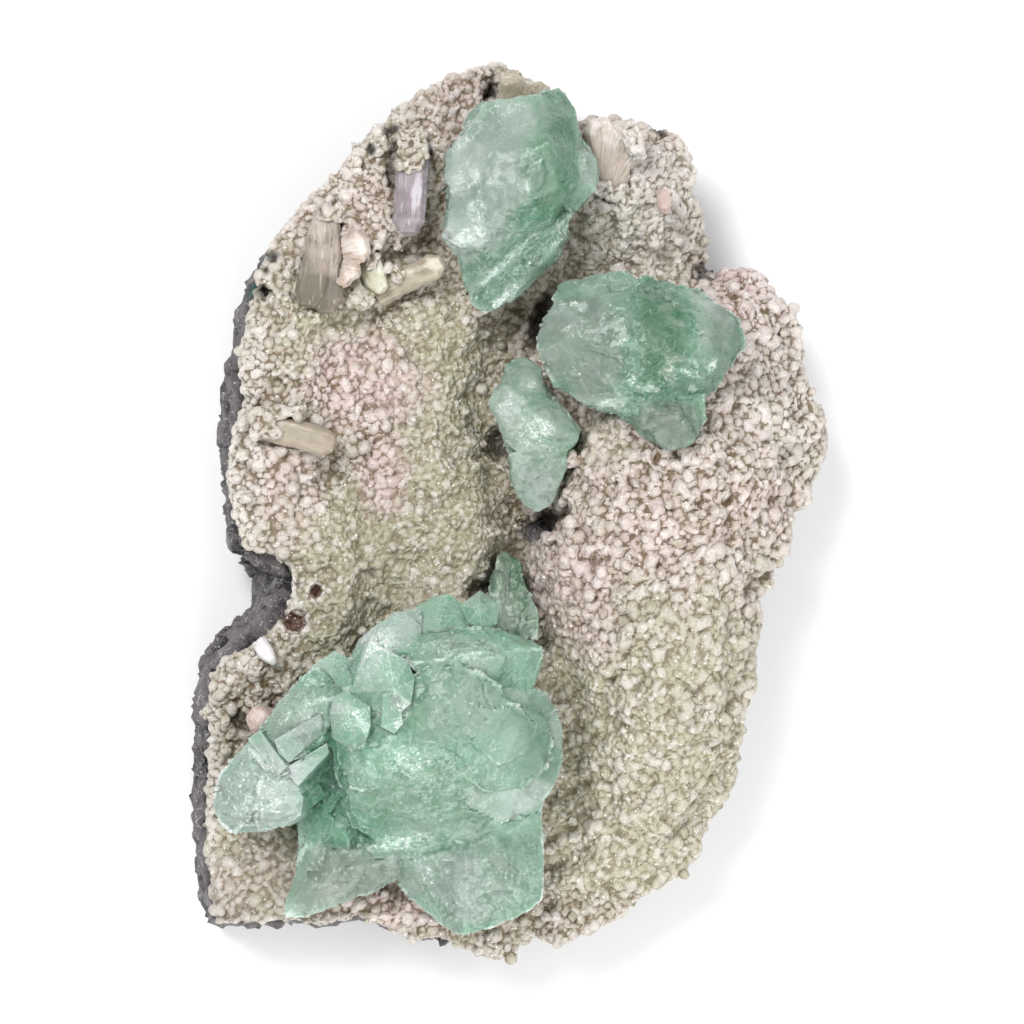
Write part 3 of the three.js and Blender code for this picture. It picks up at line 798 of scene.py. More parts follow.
@dataclass(frozen=True)
class ApophylliteFinish:
    """Mint-green apophyllite: partly clear, milky in zones, with a painted pearly sheen where its cleavages
    catch the light, painted glints, painted edge highlights and painted facet light.
    """

    mint: Colour = (0.22, 0.39, 0.282)
    pale: Colour = (0.31, 0.40, 0.346)
    deep: Colour = (0.075, 0.25, 0.145)
    pearl: Colour = (0.69, 0.77, 0.745)
    dim: Colour = (0.60, 0.61, 0.54)
    speck: Colour = (0.12, 0.17, 0.17)
    clear_tint: Colour = (0.88, 0.98, 0.92)
    absorb: Colour = (0.62, 0.90, 0.74)
    absorb_density: float = 28.0
    painted_glint: Colour = (0.90, 0.95, 0.94)
    block: float = 3.2 * MM
    chip: float = 1.2 * MM
    flake: float = 0.4 * MM
    index: float = 1.535

    def make(self) -> Material:
        """Builds the material."""
        bench = Bench("apophyllite")
        place = bench.place()
        ray = bench.direction("ray")
        streak = bench.mottle(ray, 1.1 * MM, 3, 0.6)
        silk = bench.mottle(ray, 0.4 * MM, 4, 0.75)
        cloud = bench.mottle(place, 5 * MM, 4)
        fine = bench.mottle(place, 0.6 * MM, 3, 0.65)
        block, chip, flake = (bench.cells(ray, size) for size in (self.block, self.chip, self.flake))
        shard = bench.part(block, 1) * 0.6 + bench.part(chip, 1) * 0.4
        glow, pearl = bench.field("glow"), bench.field("pearl")
        frost = (bench.field("frost") + (cloud - 0.5) * 0.5 + (glow - 0.5) * 0.3).rise(0.05, 0.95)
        bench.colour = bench.blend(frost, self.mint, self.pale)
        # The groove term paints shade, a deeper green, into the creases between crystals.
        deep = bench.field("deep") + (cloud - 0.5) * 0.3 + bench.field("groove") * 0.3
        bench.lay(deep.rise(0.12, 0.95), self.deep)
        bench.lay((shard - 0.5).rise(0.0, 0.4) * 0.2, self.pale)
        bench.lay((0.5 - shard).rise(0.0, 0.4) * 0.15, self.deep)
        # Painted facet light: faces lighter and darker by the way they face, with each crystal's own tone and
        # paler tips.
        bench.lay((glow - 0.5).rise(0.0, 0.45) * 0.4, self.pearl)
        bench.lay((0.5 - glow).rise(0.0, 0.45) * 0.45, self.deep)
        bench.lay(streak.rise(0.45, 0.72) * 0.32, self.pale)
        # Painted glints: bright seams, thin wavy lines and flecks laid in near-white.
        crack = (0.055 - bench.seams(ray, self.chip)).rise(0.0, 0.035) * bench.part(chip, 0).rise(0.70, 0.74)
        bench.lay(crack * silk.rise(0.42, 0.58) * 0.6, self.painted_glint)
        bench.lay(fine.rise(0.5, 0.72) * (0.1 + frost * 0.12), self.pearl)
        # Painted sheen: pearly streaks laid in pale colour in the sheen zones.
        sheen_streaks = pearl * ((silk - 0.5) * 2.2 + (bench.part(chip, 2) - 0.5) * 0.5 + pearl * 0.4).rise(0.0, 0.75)
        bench.lay(sheen_streaks * 0.4, self.pearl)
        wink = (bench.part(flake, 0) + pearl * 0.18 + (silk - 0.5) * 0.6).rise(1.075, 1.13)
        level = bench.mottle(bench.warp(place, silk, 0.8 * MM), 1.6 * MM, 2) - 0.5
        line = (0.0012 - level * level).rise(0.0, 0.001) * silk.rise(0.44, 0.56)
        bench.lay(line * (0.12 + pearl * 0.6), self.painted_glint)
        bench.lay(wink * 0.8, self.painted_glint)
        # Painted edge highlight along the crystals' ridges.
        rim = (bench.field("crease") + (fine - 0.5) * 0.7 + (cloud - 0.5) * 1.2).rise(0.6, 1.2)
        bench.lay(rim * 0.35, self.pearl)
        bench.lay(bench.field("dim"), self.dim, "MULTIPLY")
        dark = (bench.field("speck") + (bench.mottle(place, 0.8 * MM, 2) - 0.66) * 5).rise(0.55, 0.9)
        bench.lay(dark * bench.field("speck") * 0.85, self.speck)
        normal = bench.bump(streak * 0.8 + fine * 0.4 + silk * 0.25, 0.45, 0.3 * MM)
        for cells, amount in ((block, 0.22), (chip, 0.18), (flake, 0.12)):
            normal = bench.tipped(normal, cells, amount)
        roughness = (0.2 + fine * 0.18 + bench.field("frost") * 0.08) - wink * 0.2
        milky = bench.principled(
            Base_Color=bench.colour,
            Roughness=roughness,
            IOR=self.index,
            Subsurface_Weight=0.7,
            Subsurface_Radius=(0.8, 1.1, 0.95),
            Subsurface_Scale=5 * MM,
            Normal=normal,
        )
        clear = bench.principled(
            Base_Color=self.clear_tint,
            Roughness=roughness,
            IOR=self.index,
            Transmission_Weight=1.0,
            Normal=normal,
        )
        share = 0.22 + bench.field("clear") * 0.5 + (cloud - 0.5) * 0.4 - frost * 0.1
        share = (share - wink * 0.6 - rim * 0.3 - sheen_streaks * 0.5).clamped()
        surface = bench.either(share, milky, clear)
        bench.lay(0.1, self.pearl)
        solid = bench.principled(Base_Color=bench.colour, Roughness=roughness, Normal=normal)
        surface = bench.either(bench.field("solid") * 0.85, surface, solid)
        inside = {"Color": self.absorb, "Density": self.absorb_density}
        return bench.finish(surface, bench.node("ShaderNodeVolumeAbsorption", {}, inside))


@dataclass(frozen=True)
class StilbiteFinish:
    """Pearly stilbite with fine fibres along its blades, painted edge highlights and painted glints."""

    name: str
    body: Colour
    tip: Colour
    shade: Colour

    def make(self) -> Material:
        """Builds the material."""
        bench = Bench(self.name)
        fibre = bench.direction("fibre")
        streak = bench.mottle(fibre, 0.5 * MM, 3, 0.6)
        cloud = bench.mottle(bench.place(), 3 * MM, 3)
        fine = bench.mottle(bench.place(), 0.6 * MM, 3, 0.6)
        bench.colour = bench.blend((streak * 0.5 + cloud * 0.5).rise(0.32, 0.56), self.shade, self.body)
        bench.lay(bench.field("dim").rise(0.0, 1.0) * 0.9, self.shade)
        # Lighter in the pale patches; on the lavender blade the first of them is a painted glint streak.
        light = bench.field("pale") + (streak - 0.5) * 1.3 + (fine - 0.5) * 0.6 + (cloud - 0.5) * 0.6
        bench.lay(light.rise(0.25, 1.0) * 0.75, self.tip)
        # Painted edge highlight along the blade's ridges.
        rim = (bench.field("crease") + (fine - 0.5) * 1.2 + (cloud - 0.5) * 1.6).rise(0.7, 1.2)
        bench.lay(rim * 0.35, self.tip)
        # Painted glints: a few fibre cells laid in the tip colour.
        wink = bench.part(bench.cells(fibre, 0.3 * MM), 0).rise(0.97, 0.98)
        bench.lay(wink * 0.5, self.tip)
        surface = bench.principled(
            Base_Color=bench.colour,
            Roughness=(0.36 + streak * 0.25) - wink * 0.25,
            Subsurface_Weight=0.6,
            Subsurface_Radius=(1.2, 1.0, 0.9),
            Subsurface_Scale=2.5 * MM,
            IOR=1.5,
            Sheen_Weight=0.1,
            Normal=bench.bump(streak * 0.9 + fine * 0.5, 0.7, 0.3 * MM),
        )
        return bench.finish(surface)


# ---- The basalt slab ----


@dataclass
class BasaltSlab:
    """The broken slab of basalt under the crust."""

    voxel: float = 0.95 * MM
    breakage: tuple[Breakage, ...] = (
        Breakage(11 * MM, 0.24, 0.6 * MM, 0.8),
        Breakage(4.5 * MM, 0.24, 0.3 * MM, 0.8),
    )
    vesicles: int = 120
    vesicle_size: Span = (0.9 * MM, 2.6 * MM)
    stain: Span = (24 * MM, 29 * MM)
    back: Span = (0.2 * MM, 2.5 * MM)
    rough: float = 0.4 * MM
    rough_width: float = 3 * MM
    lining: float = 0.28
    edge_relief: float = 0.4 * MM
    clay_spots: Patches = ovals(
        (390, 126, 16, 12), (270, 256, 12, 12), (258, 292, 10, 10), (646, 130, 14, 10),
    )
    rust_spots: Patches = ovals((292, 622, 14, 12, 0.9), (262, 288, 8, 10, 0.6))
    seed: int = 5

    def break_up(self, piece: Piece) -> None:
        """Breaks the flanks into blocks and chips and keeps the back flat."""
        noise = SoftNoise(self.seed)
        for breakage in self.breakage:
            points = points_of(piece)
            self.keep_back(piece, points, breakage.act(points, normals_of(piece), points, self.seed))
        points, normals = points_of(piece), normals_of(piece)
        rough = noise.layered(points, self.rough_width, 3) * self.rough
        self.keep_back(piece, points, points + normals * rough[:, None])

    def keep_back(self, piece: Piece, points: Array, moved: Array) -> None:
        """Writes moved points, but leaves those of the sawn back where they are."""
        free = soft_step(*self.back, points[:, 2])[:, None]
        moved = points + (moved - points) * free
        moved[:, 2] = np.maximum(moved[:, 2], 0)
        move_points(piece, moved)

    def open_vesicles(self, piece: Piece) -> Array:
        """Presses small round gas holes into the flanks.

        Args:
            piece: The slab.

        Returns:
            How far each point lies in a hole, from 0 to 1.
        """
        chance = np.random.default_rng(self.seed)
        points, normals = points_of(piece), normals_of(piece)
        side = np.flatnonzero((np.abs(normals[:, 2]) < 0.7) & (points[:, 2] > 2 * MM))
        inside = np.zeros(len(points))
        for middle in points[chance.choice(side, self.vesicles, replace=False)]:
            size = chance.uniform(*self.vesicle_size)
            away = np.linalg.norm(points - middle, axis=1) / size
            inside = np.maximum(inside, np.clip(1 - away**2, 0, 1) * (0.5 + size / self.vesicle_size[1] / 2))
        self.keep_back(piece, points, points - normals * (inside * self.vesicle_size[1] * 0.6)[:, None])
        return inside

    def build(self) -> Piece:
        """Makes the slab."""
        piece = copy_of("basalt_matrix", "basalt_slab")
        remesh(piece, self.voxel)
        self.break_up(piece)
        holes = self.open_vesicles(piece)
        points = points_of(piece)
        wobble = SoftNoise(self.seed).plain(points, 2 * MM) * 0.4
        lining = soft_step(0.25, 0.7, holes + SoftNoise(9).plain(points, 12 * MM) * 0.35)
        stained = soft_step(*self.stain, points[:, 2] + wobble * 5 * MM)
        paint(
            piece,
            # relief carries painted light on the slab's ridges and painted shade in its hollows.
            relief=np.clip(relief_of(piece, 10) / self.edge_relief, -1, 1),
            lining=lining * self.lining,
            clay=share_of(self.clay_spots, points, wobble) * stained,
            rust=share_of(self.rust_spots, points, wobble) * stained,
        )
        shade(piece)
        return settle(piece, "basalt", BasaltFinish().make(), "basalt_matrix")


# ---- The druse ----


class GrainCut(Enum):
    """The kinds of grain, with how long, wide and high each is."""

    PEBBLE = (1.05, 0.98, 1.0)
    BLOCK = (1.05, 0.85, 0.85)
    LENS = (1.5, 0.72, 0.8)


@dataclass
class GrainShape:
    """One model of a grain, which is copied many times."""

    cut: GrainCut
    twist: float
    lean: Place
    seed: int

    def make(self) -> Model:
        """Models the grain from a cube.

        Returns:
            Its points, about one unit across, and its triangles.
        """
        points, triangles = cut_cube("EDGES", 0.3 if self.cut is GrainCut.PEBBLE else 0.22)
        top = soft_step(-0.5, 0.5, points[:, 2])[:, None]
        points[:, :2] *= 1 - 0.25 * top * (self.cut is not GrainCut.BLOCK)
        points += np.random.default_rng(self.seed).normal(0, 0.035, points.shape)
        points += top * np.array(self.lean)
        turn = np.array(Euler((0, 0, self.twist)).to_matrix())
        return points @ turn.T * self.cut.value, triangles


@dataclass
class Sown:
    """Where grains stand: their places, directions and sizes."""

    places: Array
    facing: Array
    sizes: Array

    def part(self, chosen: Array) -> "Sown":
        """Keeps only the chosen grains."""
        return Sown(self.places[chosen], self.facing[chosen], self.sizes[chosen])

    def joined(self, *others: "Sown") -> "Sown":
        """Adds other grains to these."""
        rows = zip(*((group.places, group.facing, group.sizes) for group in (self, *others)))
        return Sown(*(np.concatenate(row) for row in rows))


@dataclass(frozen=True)
class Overgrowth:
    """Grains that have grown over part of a crystal."""

    node: str
    patch: Patch
    count: int

    def sow(self, chance: np.random.Generator, sizes: Span) -> Sown:
        """Chooses places on the crystal's upper side.

        Args:
            chance: The source of random choices.
            sizes: The least and the greatest size of a grain.

        Returns:
            The grains.
        """
        ground = Ground(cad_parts[self.node])
        spots = chance.uniform(-1, 1, (self.count, 2)) * (self.patch.across, self.patch.down)
        spots += (self.patch.column, self.patch.row)
        places = np.array([seat(x, y, ground.height(x, y)) for x, y in spots])
        facing = unit(chance.normal(0, 0.25, places.shape) + [0, 0, 1])
        return Sown(places, facing, chance.uniform(*sizes, self.count))


@dataclass(frozen=True)
class Knobs:
    """The rounded knobs that the crust's skin is made of: their sizes and how they stand."""

    size: Span = (1.4 * MM, 3.4 * MM)
    spread: float = 0.6
    stretch: tuple[float, float, float] = (0.82, 1.0, 1.2)
    lift: float = 0.25 * MM
    filling: Span = (0.8 * MM, 1.3 * MM)
    large: int = 1500
    count: int = 90000
    fillers: int = 70000

    def raised(
        self, points: Array, middles: Array, sizes: Array, angular: Array, seed: int
    ) -> tuple[Array, Array]:
        """Finds the knobs' heights and tones.

        Args:
            points: The surface's points.
            middles: The number of the point in each knob's middle.
            sizes: The knobs' widths.
            angular: How blocky each knob is, from 0 to 1.
            seed: The seed of the random choices.

        Returns:
            How far each point rises in metres, and its knob's tone from 0 to 1.
        """
        tree = KDTree(len(points))
        for number, point in enumerate(points):
            tree.insert(point, number)
        tree.balance()
        owners, near = [], []
        for number, (place, size) in enumerate(zip(points[middles], sizes)):
            found = [item[1] for item in tree.find_range(place, size * 0.6)]
            near += found
            owners += [number] * len(found)
        near, owners = np.array(near), np.array(owners)
        chance = np.random.default_rng(seed)
        count = len(sizes)
        first = unit(chance.normal(0, 1, (count, 3)))
        second = unit(np.cross(first, chance.normal(0, 1, (count, 3))))
        axes = np.stack([first, second, np.cross(first, second)], axis=1)[owners]
        offset = points[near] - points[middles[owners]]
        parts = np.abs(np.einsum("nij,nj->ni", axes, offset)) * self.stretch / (sizes[owners] / 2)[:, None]
        blocky = angular[owners]
        away = np.linalg.norm(parts, axis=1) * (1 - blocky) + parts.max(1) * 1.15 * blocky
        bulge = np.sqrt(np.clip(1 - away**2, 0, 1))
        high = (sizes * chance.uniform(0.36, 0.56, count))[owners]
        lift = chance.uniform(-self.lift, self.lift, count)[owners]
        rise = np.where(bulge > 0, bulge * high + lift, 0)
        order = np.argsort(rise)
        near, rise = near[order], rise[order]
        height, tone = np.zeros(len(points)), np.full(len(points), 0.5)
        height[near] = rise
        tone[near] = chance.random(count)[owners[order]]
        return np.maximum(height, 0), tone


@dataclass
class Druse:
    """The zeolite crust, made of knobs, and the grains that stand on it."""

    voxel: float = 0.65 * MM
    fine_voxel: float = 0.4 * MM
    near_relief: float = 0.13 * MM
    wide_relief: float = 0.7 * MM
    loose_share: float = 0.25
    clump: float = 6.5 * MM
    clump_rise: float = 1.5 * MM
    lump: float = 10 * MM
    lump_rise: float = 1.3 * MM
    knobs: Knobs = Knobs()
    typical: float = 0.75 * MM
    grain_size: Span = (1.8 * MM, 3.2 * MM)
    overgrown_size: Span = (1.3 * MM, 2.3 * MM)
    spread: float = 2.4
    tries: int = 60000
    buried: float = 1.2 * MM
    sunk: float = 1.6 * MM
    right_side: Span = (480, 620)
    # The hollows are pressed in and are also painted nearly black as painted shade.
    hollows: Patches = ovals(
        (545, 522, 24, 12, 1, 35), (540, 320, 8, 34, 0.9, -20), (490, 92, 9, 12, 0.9),
        (500, 445, 12, 14, 0.8), (478, 590, 14, 10, 0.7), (705, 272, 14, 8, 0.7), (392, 170, 5, 26, 0.7),
        (393, 893, 8, 10, 0.3), (240, 720, 8, 10, 0.6), (273, 257, 7, 6, 0.9), (266, 272, 4, 5, 0.8),
        (263, 291, 7, 8, 0.9), (371, 149, 4, 5, 0.9), (391, 130, 9, 4, 0.9, 20), (659, 133, 8, 3, 0.9, -15),
        (250, 890, 60, 50, 0.15),
    )
    hollow_depth: float = 3.5 * MM
    overhang: float = 1.7 * MM
    overhangs: Patches = ovals(
        (300, 215, 70, 34, 1, 50), (385, 135, 80, 30, 1, 42), (460, 85, 60, 26, 1, 20), (785, 545, 30, 70),
        (672, 180, 30, 80),
    )
    side_sink: float = 0.4
    pits: Patches = ovals((315, 591, 5, 6, 1, 0, 0.3), (293, 622, 12, 9, 1, -20, 0.3))
    pit_rims: Patches = ovals((315, 591, 9, 10, 1, 0, 0.3), (293, 622, 18, 14, 1, -20, 0.3))
    pit_depth: float = 2.2 * MM
    # The white patch at column 645, row 200 is painted light over the shadow that the crystals above it cast.
    white: Patches = ovals(
        (240, 480, 26, 90, 0.6), (238, 395, 14, 50, 0.6), (286, 590, 14, 40, 0.8, 15),
        (244, 664, 46, 9, 0.8, 40), (213, 790, 8, 110, 0.6), (330, 180, 60, 60, 0.35),
        (255, 912, 50, 12, 0.3), (250, 350, 20, 30, 0.6), (780, 380, 50, 110, 0.6), (645, 200, 60, 70, 0.9),
        (600, 250, 60, 30, 0.5),
    )
    knobby: Patches = ovals(
        (295, 500, 42, 50), (360, 350, 60, 70, 0.5), (330, 190, 70, 50, 0.5), (270, 320, 30, 60, 0.6),
        (240, 870, 40, 60, 0.6), (700, 640, 150, 320, 0.7), (740, 330, 60, 70, 0.3), (620, 220, 70, 60, 0.6),
    )
    shapes: int = 9
    twist: float = 1.5
    lean: float = 0.16
    limit: int = 190000
    seed: int = 31
    pink: Patches = ovals(
        (372, 385, 62, 50, 0.9), (385, 470, 30, 45, 0.9), (750, 310, 60, 60, 0.9), (640, 150, 60, 40, 0.7),
        (565, 575, 55, 70, 0.75), (690, 470, 130, 130, 0.55), (330, 200, 70, 70, 0.5),
        (285, 480, 45, 70, 0.55), (455, 105, 45, 45, 0.6), (250, 885, 50, 50, 0.4), (410, 905, 60, 25, 0.6),
    )
    olive: Patches = ovals(
        (450, 430, 55, 150, 0.85), (395, 560, 120, 70, 0.8), (345, 610, 60, 60, 0.8), (590, 245, 70, 50, 0.5),
        (575, 740, 45, 120, 0.8), (640, 850, 90, 70, 0.6), (330, 320, 50, 50, 0.6), (590, 440, 34, 24, 0.9),
        (700, 740, 100, 130, 0.7), (255, 860, 55, 60, 0.9), (640, 210, 50, 60, 0.5),
    )
    overgrowths: tuple[Overgrowth, ...] = (
        Overgrowth("stilbite_lavender_blade", Patch(411, 149, 12, 18), 110),
        Overgrowth("stilbite_rim_blade", Patch(264, 424, 12, 14), 90),
        Overgrowth("stilbite_rim_blade", Patch(290, 412, 14, 4), 26),
        Overgrowth("stilbite_drape_blade", Patch(330, 214, 10, 6), 20),
        Overgrowth("stilbite_right_sheaf", Patch(610, 192, 14, 7), 40),
        Overgrowth("stilbite_right_sheaf", Patch(634, 140, 6, 18), 40),
        Overgrowth("stilbite_tan_blade", Patch(396, 272, 8, 6), 24),
        Overgrowth("stilbite_lower_leaf", Patch(360, 300, 8, 5), 20),
        Overgrowth("stilbite_upper_leaf", Patch(372, 262, 5, 6), 14),
    )
    crystals: tuple[str, ...] = ()

    def colours(self, points: Array) -> dict[str, Array]:
        """Gives how olive, pink, pitted and white the druse is at points, and how much painted shade its
        hollows get.
        """
        noise = SoftNoise(self.seed)
        wobble = noise.layered(points, 9 * MM, 3) * 0.5
        patchy = noise.layered(points + 0.5, 6 * MM, 3)
        olive = share_of(self.olive, points, wobble) + 0.25 + 0.45 * patchy
        pink = share_of(self.pink, points, -wobble) + 0.35 * noise.layered(points + 0.2, 7 * MM, 3)
        pit = share_of(self.pits, points, wobble * 0.5)
        rim = np.clip(share_of(self.pit_rims, points, wobble * 0.5) - pit * 2, 0, 1)
        return {
            "olive": np.clip(olive, 0, 1) * (1 - rim),
            "pink": np.clip(pink - 0.1, 0, 1),
            "hollow": share_of(self.hollows, points, wobble),
            "pit": pit,
            "white": np.maximum(rim, share_of(self.white, points, wobble)),
        }

    def make_skin(self) -> Piece:
        """Makes the bare crust, with its lumps, hollows and pits."""
        skin = copy_of("zeolite_crust", "druse_crust")
        remesh(skin, self.voxel)
        noise = SoftNoise(self.seed)
        points, normals = points_of(skin), normals_of(skin)
        up = soft_step(-0.3, 0.3, normals[:, 2])
        rise = (noise.layered(points, self.lump, 2) * self.lump_rise - 0.25 * MM) * up
        rise -= share_of(self.hollows, points) * self.hollow_depth * up
        rise -= share_of(self.pits, points) * self.pit_depth * up
        _, offset = cells_of(points + noise.plain(points, 4 * MM)[:, None] * MM, self.clump, self.seed + 3)
        rise += (np.clip(1 - (offset**2).sum(1) / 0.64, 0, 1) - 0.5) * self.clump_rise * up
        move_points(skin, points + normals * rise[:, None])
        points, normals = points_of(skin), normals_of(skin)
        outward = unit(normals * (1, 1, 0)) * soft_step(0.8, 0.4, normals[:, 2])[:, None]
        move_points(skin, points + outward * (share_of(self.overhangs, points) * self.overhang)[:, None])
        return skin

    def candidates(self, skin: Piece, count: int, chance: np.random.Generator) -> Sown:
        """Strews places evenly over the crust's outward faces.

        Args:
            skin: The crust.
            count: How many places.
            chance: The source of random choices.

        Returns:
            The places, with sizes of zero.
        """
        points, normals = points_of(skin), normals_of(skin)
        corners = triangles_of(skin)
        a, b, c = (points[column] for column in corners.T)
        area = np.linalg.norm(np.cross(b - a, c - a), axis=1)
        facing = unit(normals[corners].sum(1))
        area[facing[:, 2] < -0.25] = 0
        chosen = chance.choice(len(corners), count, p=area / area.sum())
        u, v = chance.random(count), chance.random(count)
        u, v = np.where(u + v > 1, 1 - u, u)[:, None], np.where(u + v > 1, 1 - v, v)[:, None]
        places = a[chosen] + u * (b - a)[chosen] + v * (c - a)[chosen]
        return Sown(places, facing[chosen], np.zeros(count))

    def thin_out(self, places: Array, sizes: Array, spread: float) -> Array:
        """Drops grains that stand too close to an earlier one.

        Args:
            places: The grains' places.
            sizes: Their widths.
            spread: How far apart two grains must be, in their mean width.

        Returns:
            The numbers of the grains that stay.
        """
        cell = sizes.max() * spread
        grid: dict[tuple[int, int, int], list[tuple[float, ...]]] = {}
        kept = []
        around = list(np.ndindex(3, 3, 3))
        homes = np.floor(places / cell).astype(int).tolist()
        for number, ((i, j, k), (x, y, z), size) in enumerate(zip(homes, places.tolist(), sizes.tolist())):
            clashes = (
                (ox - x) ** 2 + (oy - y) ** 2 + (oz - z) ** 2 < ((size + other) / 2 * spread) ** 2
                for di, dj, dk in around
                for ox, oy, oz, other in grid.get((i + di - 1, j + dj - 1, k + dk - 1), ())
            )
            if not any(clashes):
                kept.append(number)
                grid.setdefault((i, j, k), []).append((x, y, z, size))
        return np.array(kept, int)

    def hidden(self, sown: Sown, depth: float) -> Array:
        """Finds the grains that would stand inside a crystal.

        Args:
            sown: The grains.
            depth: How deep inside a crystal a grain must be to be left out.

        Returns:
            True for each hidden grain.
        """
        result = np.zeros(len(sown.places), bool)
        for node in self.crystals:
            low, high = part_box(node)
            near = np.all((sown.places > np.array(low)) & (sown.places < np.array(high)), axis=1)
            tree = tree_of(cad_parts[node].data)
            for number in np.flatnonzero(near):
                result[number] |= depth_in(tree, sown.places[number]) > depth
        return result

    def sow(self, skin: Piece) -> Sown:
        """Chooses where grains stand."""
        chance = np.random.default_rng(self.seed)
        grains = self.candidates(skin, self.tries, chance)
        low, high = self.grain_size
        rightward = soft_step(500, 600, view_steps(grains.places)[:, 0])
        grains.sizes = low + (high - low) * chance.beta(0.8, 2.2, len(grains.sizes)) * (1 + 0.3 * rightward)
        grains = grains.part(self.thin_out(grains.places, grains.sizes, self.spread))
        grains = grains.part(~self.hidden(grains, self.buried))
        deep = share_of((*self.hollows, *self.pits), grains.places) > 0.6
        grains = grains.part(~deep)
        return grains.joined(*(growth.sow(chance, self.overgrown_size) for growth in self.overgrowths))

    def grains(self, name: str, sown: Sown, seed: int) -> Piece:
        """Joins one piece from the grain shapes.

        Args:
            name: The piece's name.
            sown: Where its grains stand.
            seed: The seed of the random choices.

        Returns:
            The new piece.
        """
        chance = np.random.default_rng(seed)
        hues = self.colours(sown.places)
        sink = 0.14 + 0.22 * hues["olive"] - 0.1 * hues["pink"]
        sink += self.side_sink * soft_step(0.6, 0.0, sown.facing[:, 2])
        cuts = list(GrainCut)
        shapes = []
        for number in range(self.shapes):
            twist, lean = chance.uniform(0, self.twist), chance.uniform(-self.lean, self.lean, 3)
            shapes.append(GrainShape(cuts[number % len(cuts)], twist, tuple(lean), number).make())
        kinds = chance.integers(0, self.shapes, len(sown.sizes))
        rightward = soft_step(*self.right_side, view_steps(sown.places)[:, 0])
        rounded = chance.random(len(kinds)) < 0.75 - 0.5 * rightward
        kinds[rounded] -= kinds[rounded] % len(cuts)
        points, triangles, top, tone, spots, smooth = [], [], [], [], [], []
        total = 0
        for kind, model in enumerate(shapes):
            group = sown.part(np.flatnonzero(kinds == kind))
            count, corners = len(group.sizes), len(model[0])
            up = unit(group.facing + chance.normal(0, 0.45, (count, 3)))
            other = chance.normal(0, 1, (count, 3))
            scale = group.sizes[:, None] * chance.uniform(0.82, 1.16, (count, 3))
            rise = group.sizes * (0.5 - sink[kinds == kind] + chance.uniform(-0.2, 0.14, count))
            world, faces = copies(model, scale, up, other, group.places + group.facing * rise[:, None])
            points.append(world.reshape(-1, 3))
            triangles.append(faces + total)
            total += count * corners
            # The top field paints shade at the foot of each grain and a highlight at its top.
            height = np.einsum("nvc,nc->nv", world - group.places[:, None], group.facing)
            top.append(np.clip(height / group.sizes[:, None] * 1.1, 0, 1).ravel())
            tone.append(np.repeat(chance.random(count), corners))
            spots.append(np.repeat(group.places, corners, axis=0))
            smooth.append(np.full(len(faces), cuts[kind % len(cuts)] is GrainCut.PEBBLE))
        piece = mesh_from(name, np.concatenate(points), np.concatenate(triangles))
        colours = self.colours(np.concatenate(spots))
        paint(piece, top=np.concatenate(top), tone=np.concatenate(tone), **colours)
        piece.data.polygons.foreach_set("use_smooth", np.concatenate(smooth))
        return piece

    def fields(self, piece: Piece) -> dict[str, Array]:
        """Raises the knobs on the grown-together crust and gives its colours, with painted shade in its
        grooves and a painted highlight on its knob tops.

        Args:
            piece: The crust.

        Returns:
            Arrays by name, one value for each point.
        """
        points = points_of(piece)
        normals = unit(averaged(piece, normals_of(piece), 5))
        colours = self.colours(points)
        noise = SoftNoise(self.seed + 2)
        wobble = np.stack([noise.plain(points + shift, 1.6 * MM) for shift in (0.1, 0.2, 0.3)], axis=1)
        places = points + wobble * 0.22 * MM
        knobby = share_of(self.knobby, points, noise.layered(points, 8 * MM, 2) * 0.5)
        rightward = soft_step(*self.right_side, view_steps(points)[:, 0])
        soft = np.clip(colours["olive"] - colours["pink"] - knobby * 0.5, 0, 1)
        chance = np.random.default_rng(self.seed + 4)
        chosen = chance.choice(np.flatnonzero(normals[:, 2] > -0.75), self.knobs.count + self.knobs.fillers)
        low, high = self.knobs.size
        share = chance.beta(1.0, 3.2, len(chosen))
        share[: self.knobs.large] = chance.uniform(0.35, 1.0, self.knobs.large)
        scale = (1 + 0.15 * knobby + 0.08 * rightward - 0.22 * soft)[chosen]
        sizes = (low + (high - low) * share) * scale
        sizes[self.knobs.count :] = chance.uniform(*self.knobs.filling, self.knobs.fillers)
        kept = self.thin_out(places[chosen], sizes, self.knobs.spread)
        chosen, sizes = chosen[kept], sizes[kept]
        height, tone = self.knobs.raised(places, chosen, sizes, 0.15 + 0.6 * rightward[chosen], self.seed)
        side = soft_step(-0.95, -0.2, normals[:, 2])
        move_points(piece, points + normals * ((height - self.typical) * (1 - 0.2 * soft) * side)[:, None])
        # Painted light and shade: the top field is lighter on knob tops and broad rises, darker in grooves.
        wide = relief_of(piece, 24) / self.wide_relief
        groove = np.clip(relief_of(piece, 3) / self.near_relief, -1, 0.3)
        top = np.clip(0.52 + (height / self.typical - 1) * 0.22 + wide * 0.3 + groove * 0.42, 0, 1)
        return {"top": top, "tone": tone, **colours}

    def seen(self, points: Array, rows: Array) -> Array:
        """Drops the crust's faces that lie deep in the basalt.

        Args:
            points: The crust's points.
            rows: Its triangles.

        Returns:
            The triangles that stay.
        """
        tree = tree_of(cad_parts["basalt_matrix"].data)
        middles = points[rows].mean(1)
        a, b, c = (points[column] for column in rows.T)
        stays = np.ones(len(rows), bool)
        for number in np.flatnonzero(np.cross(b - a, c - a)[:, 2] < 0):
            stays[number] = depth_in(tree, middles[number]) < self.sunk
        return rows[stays]

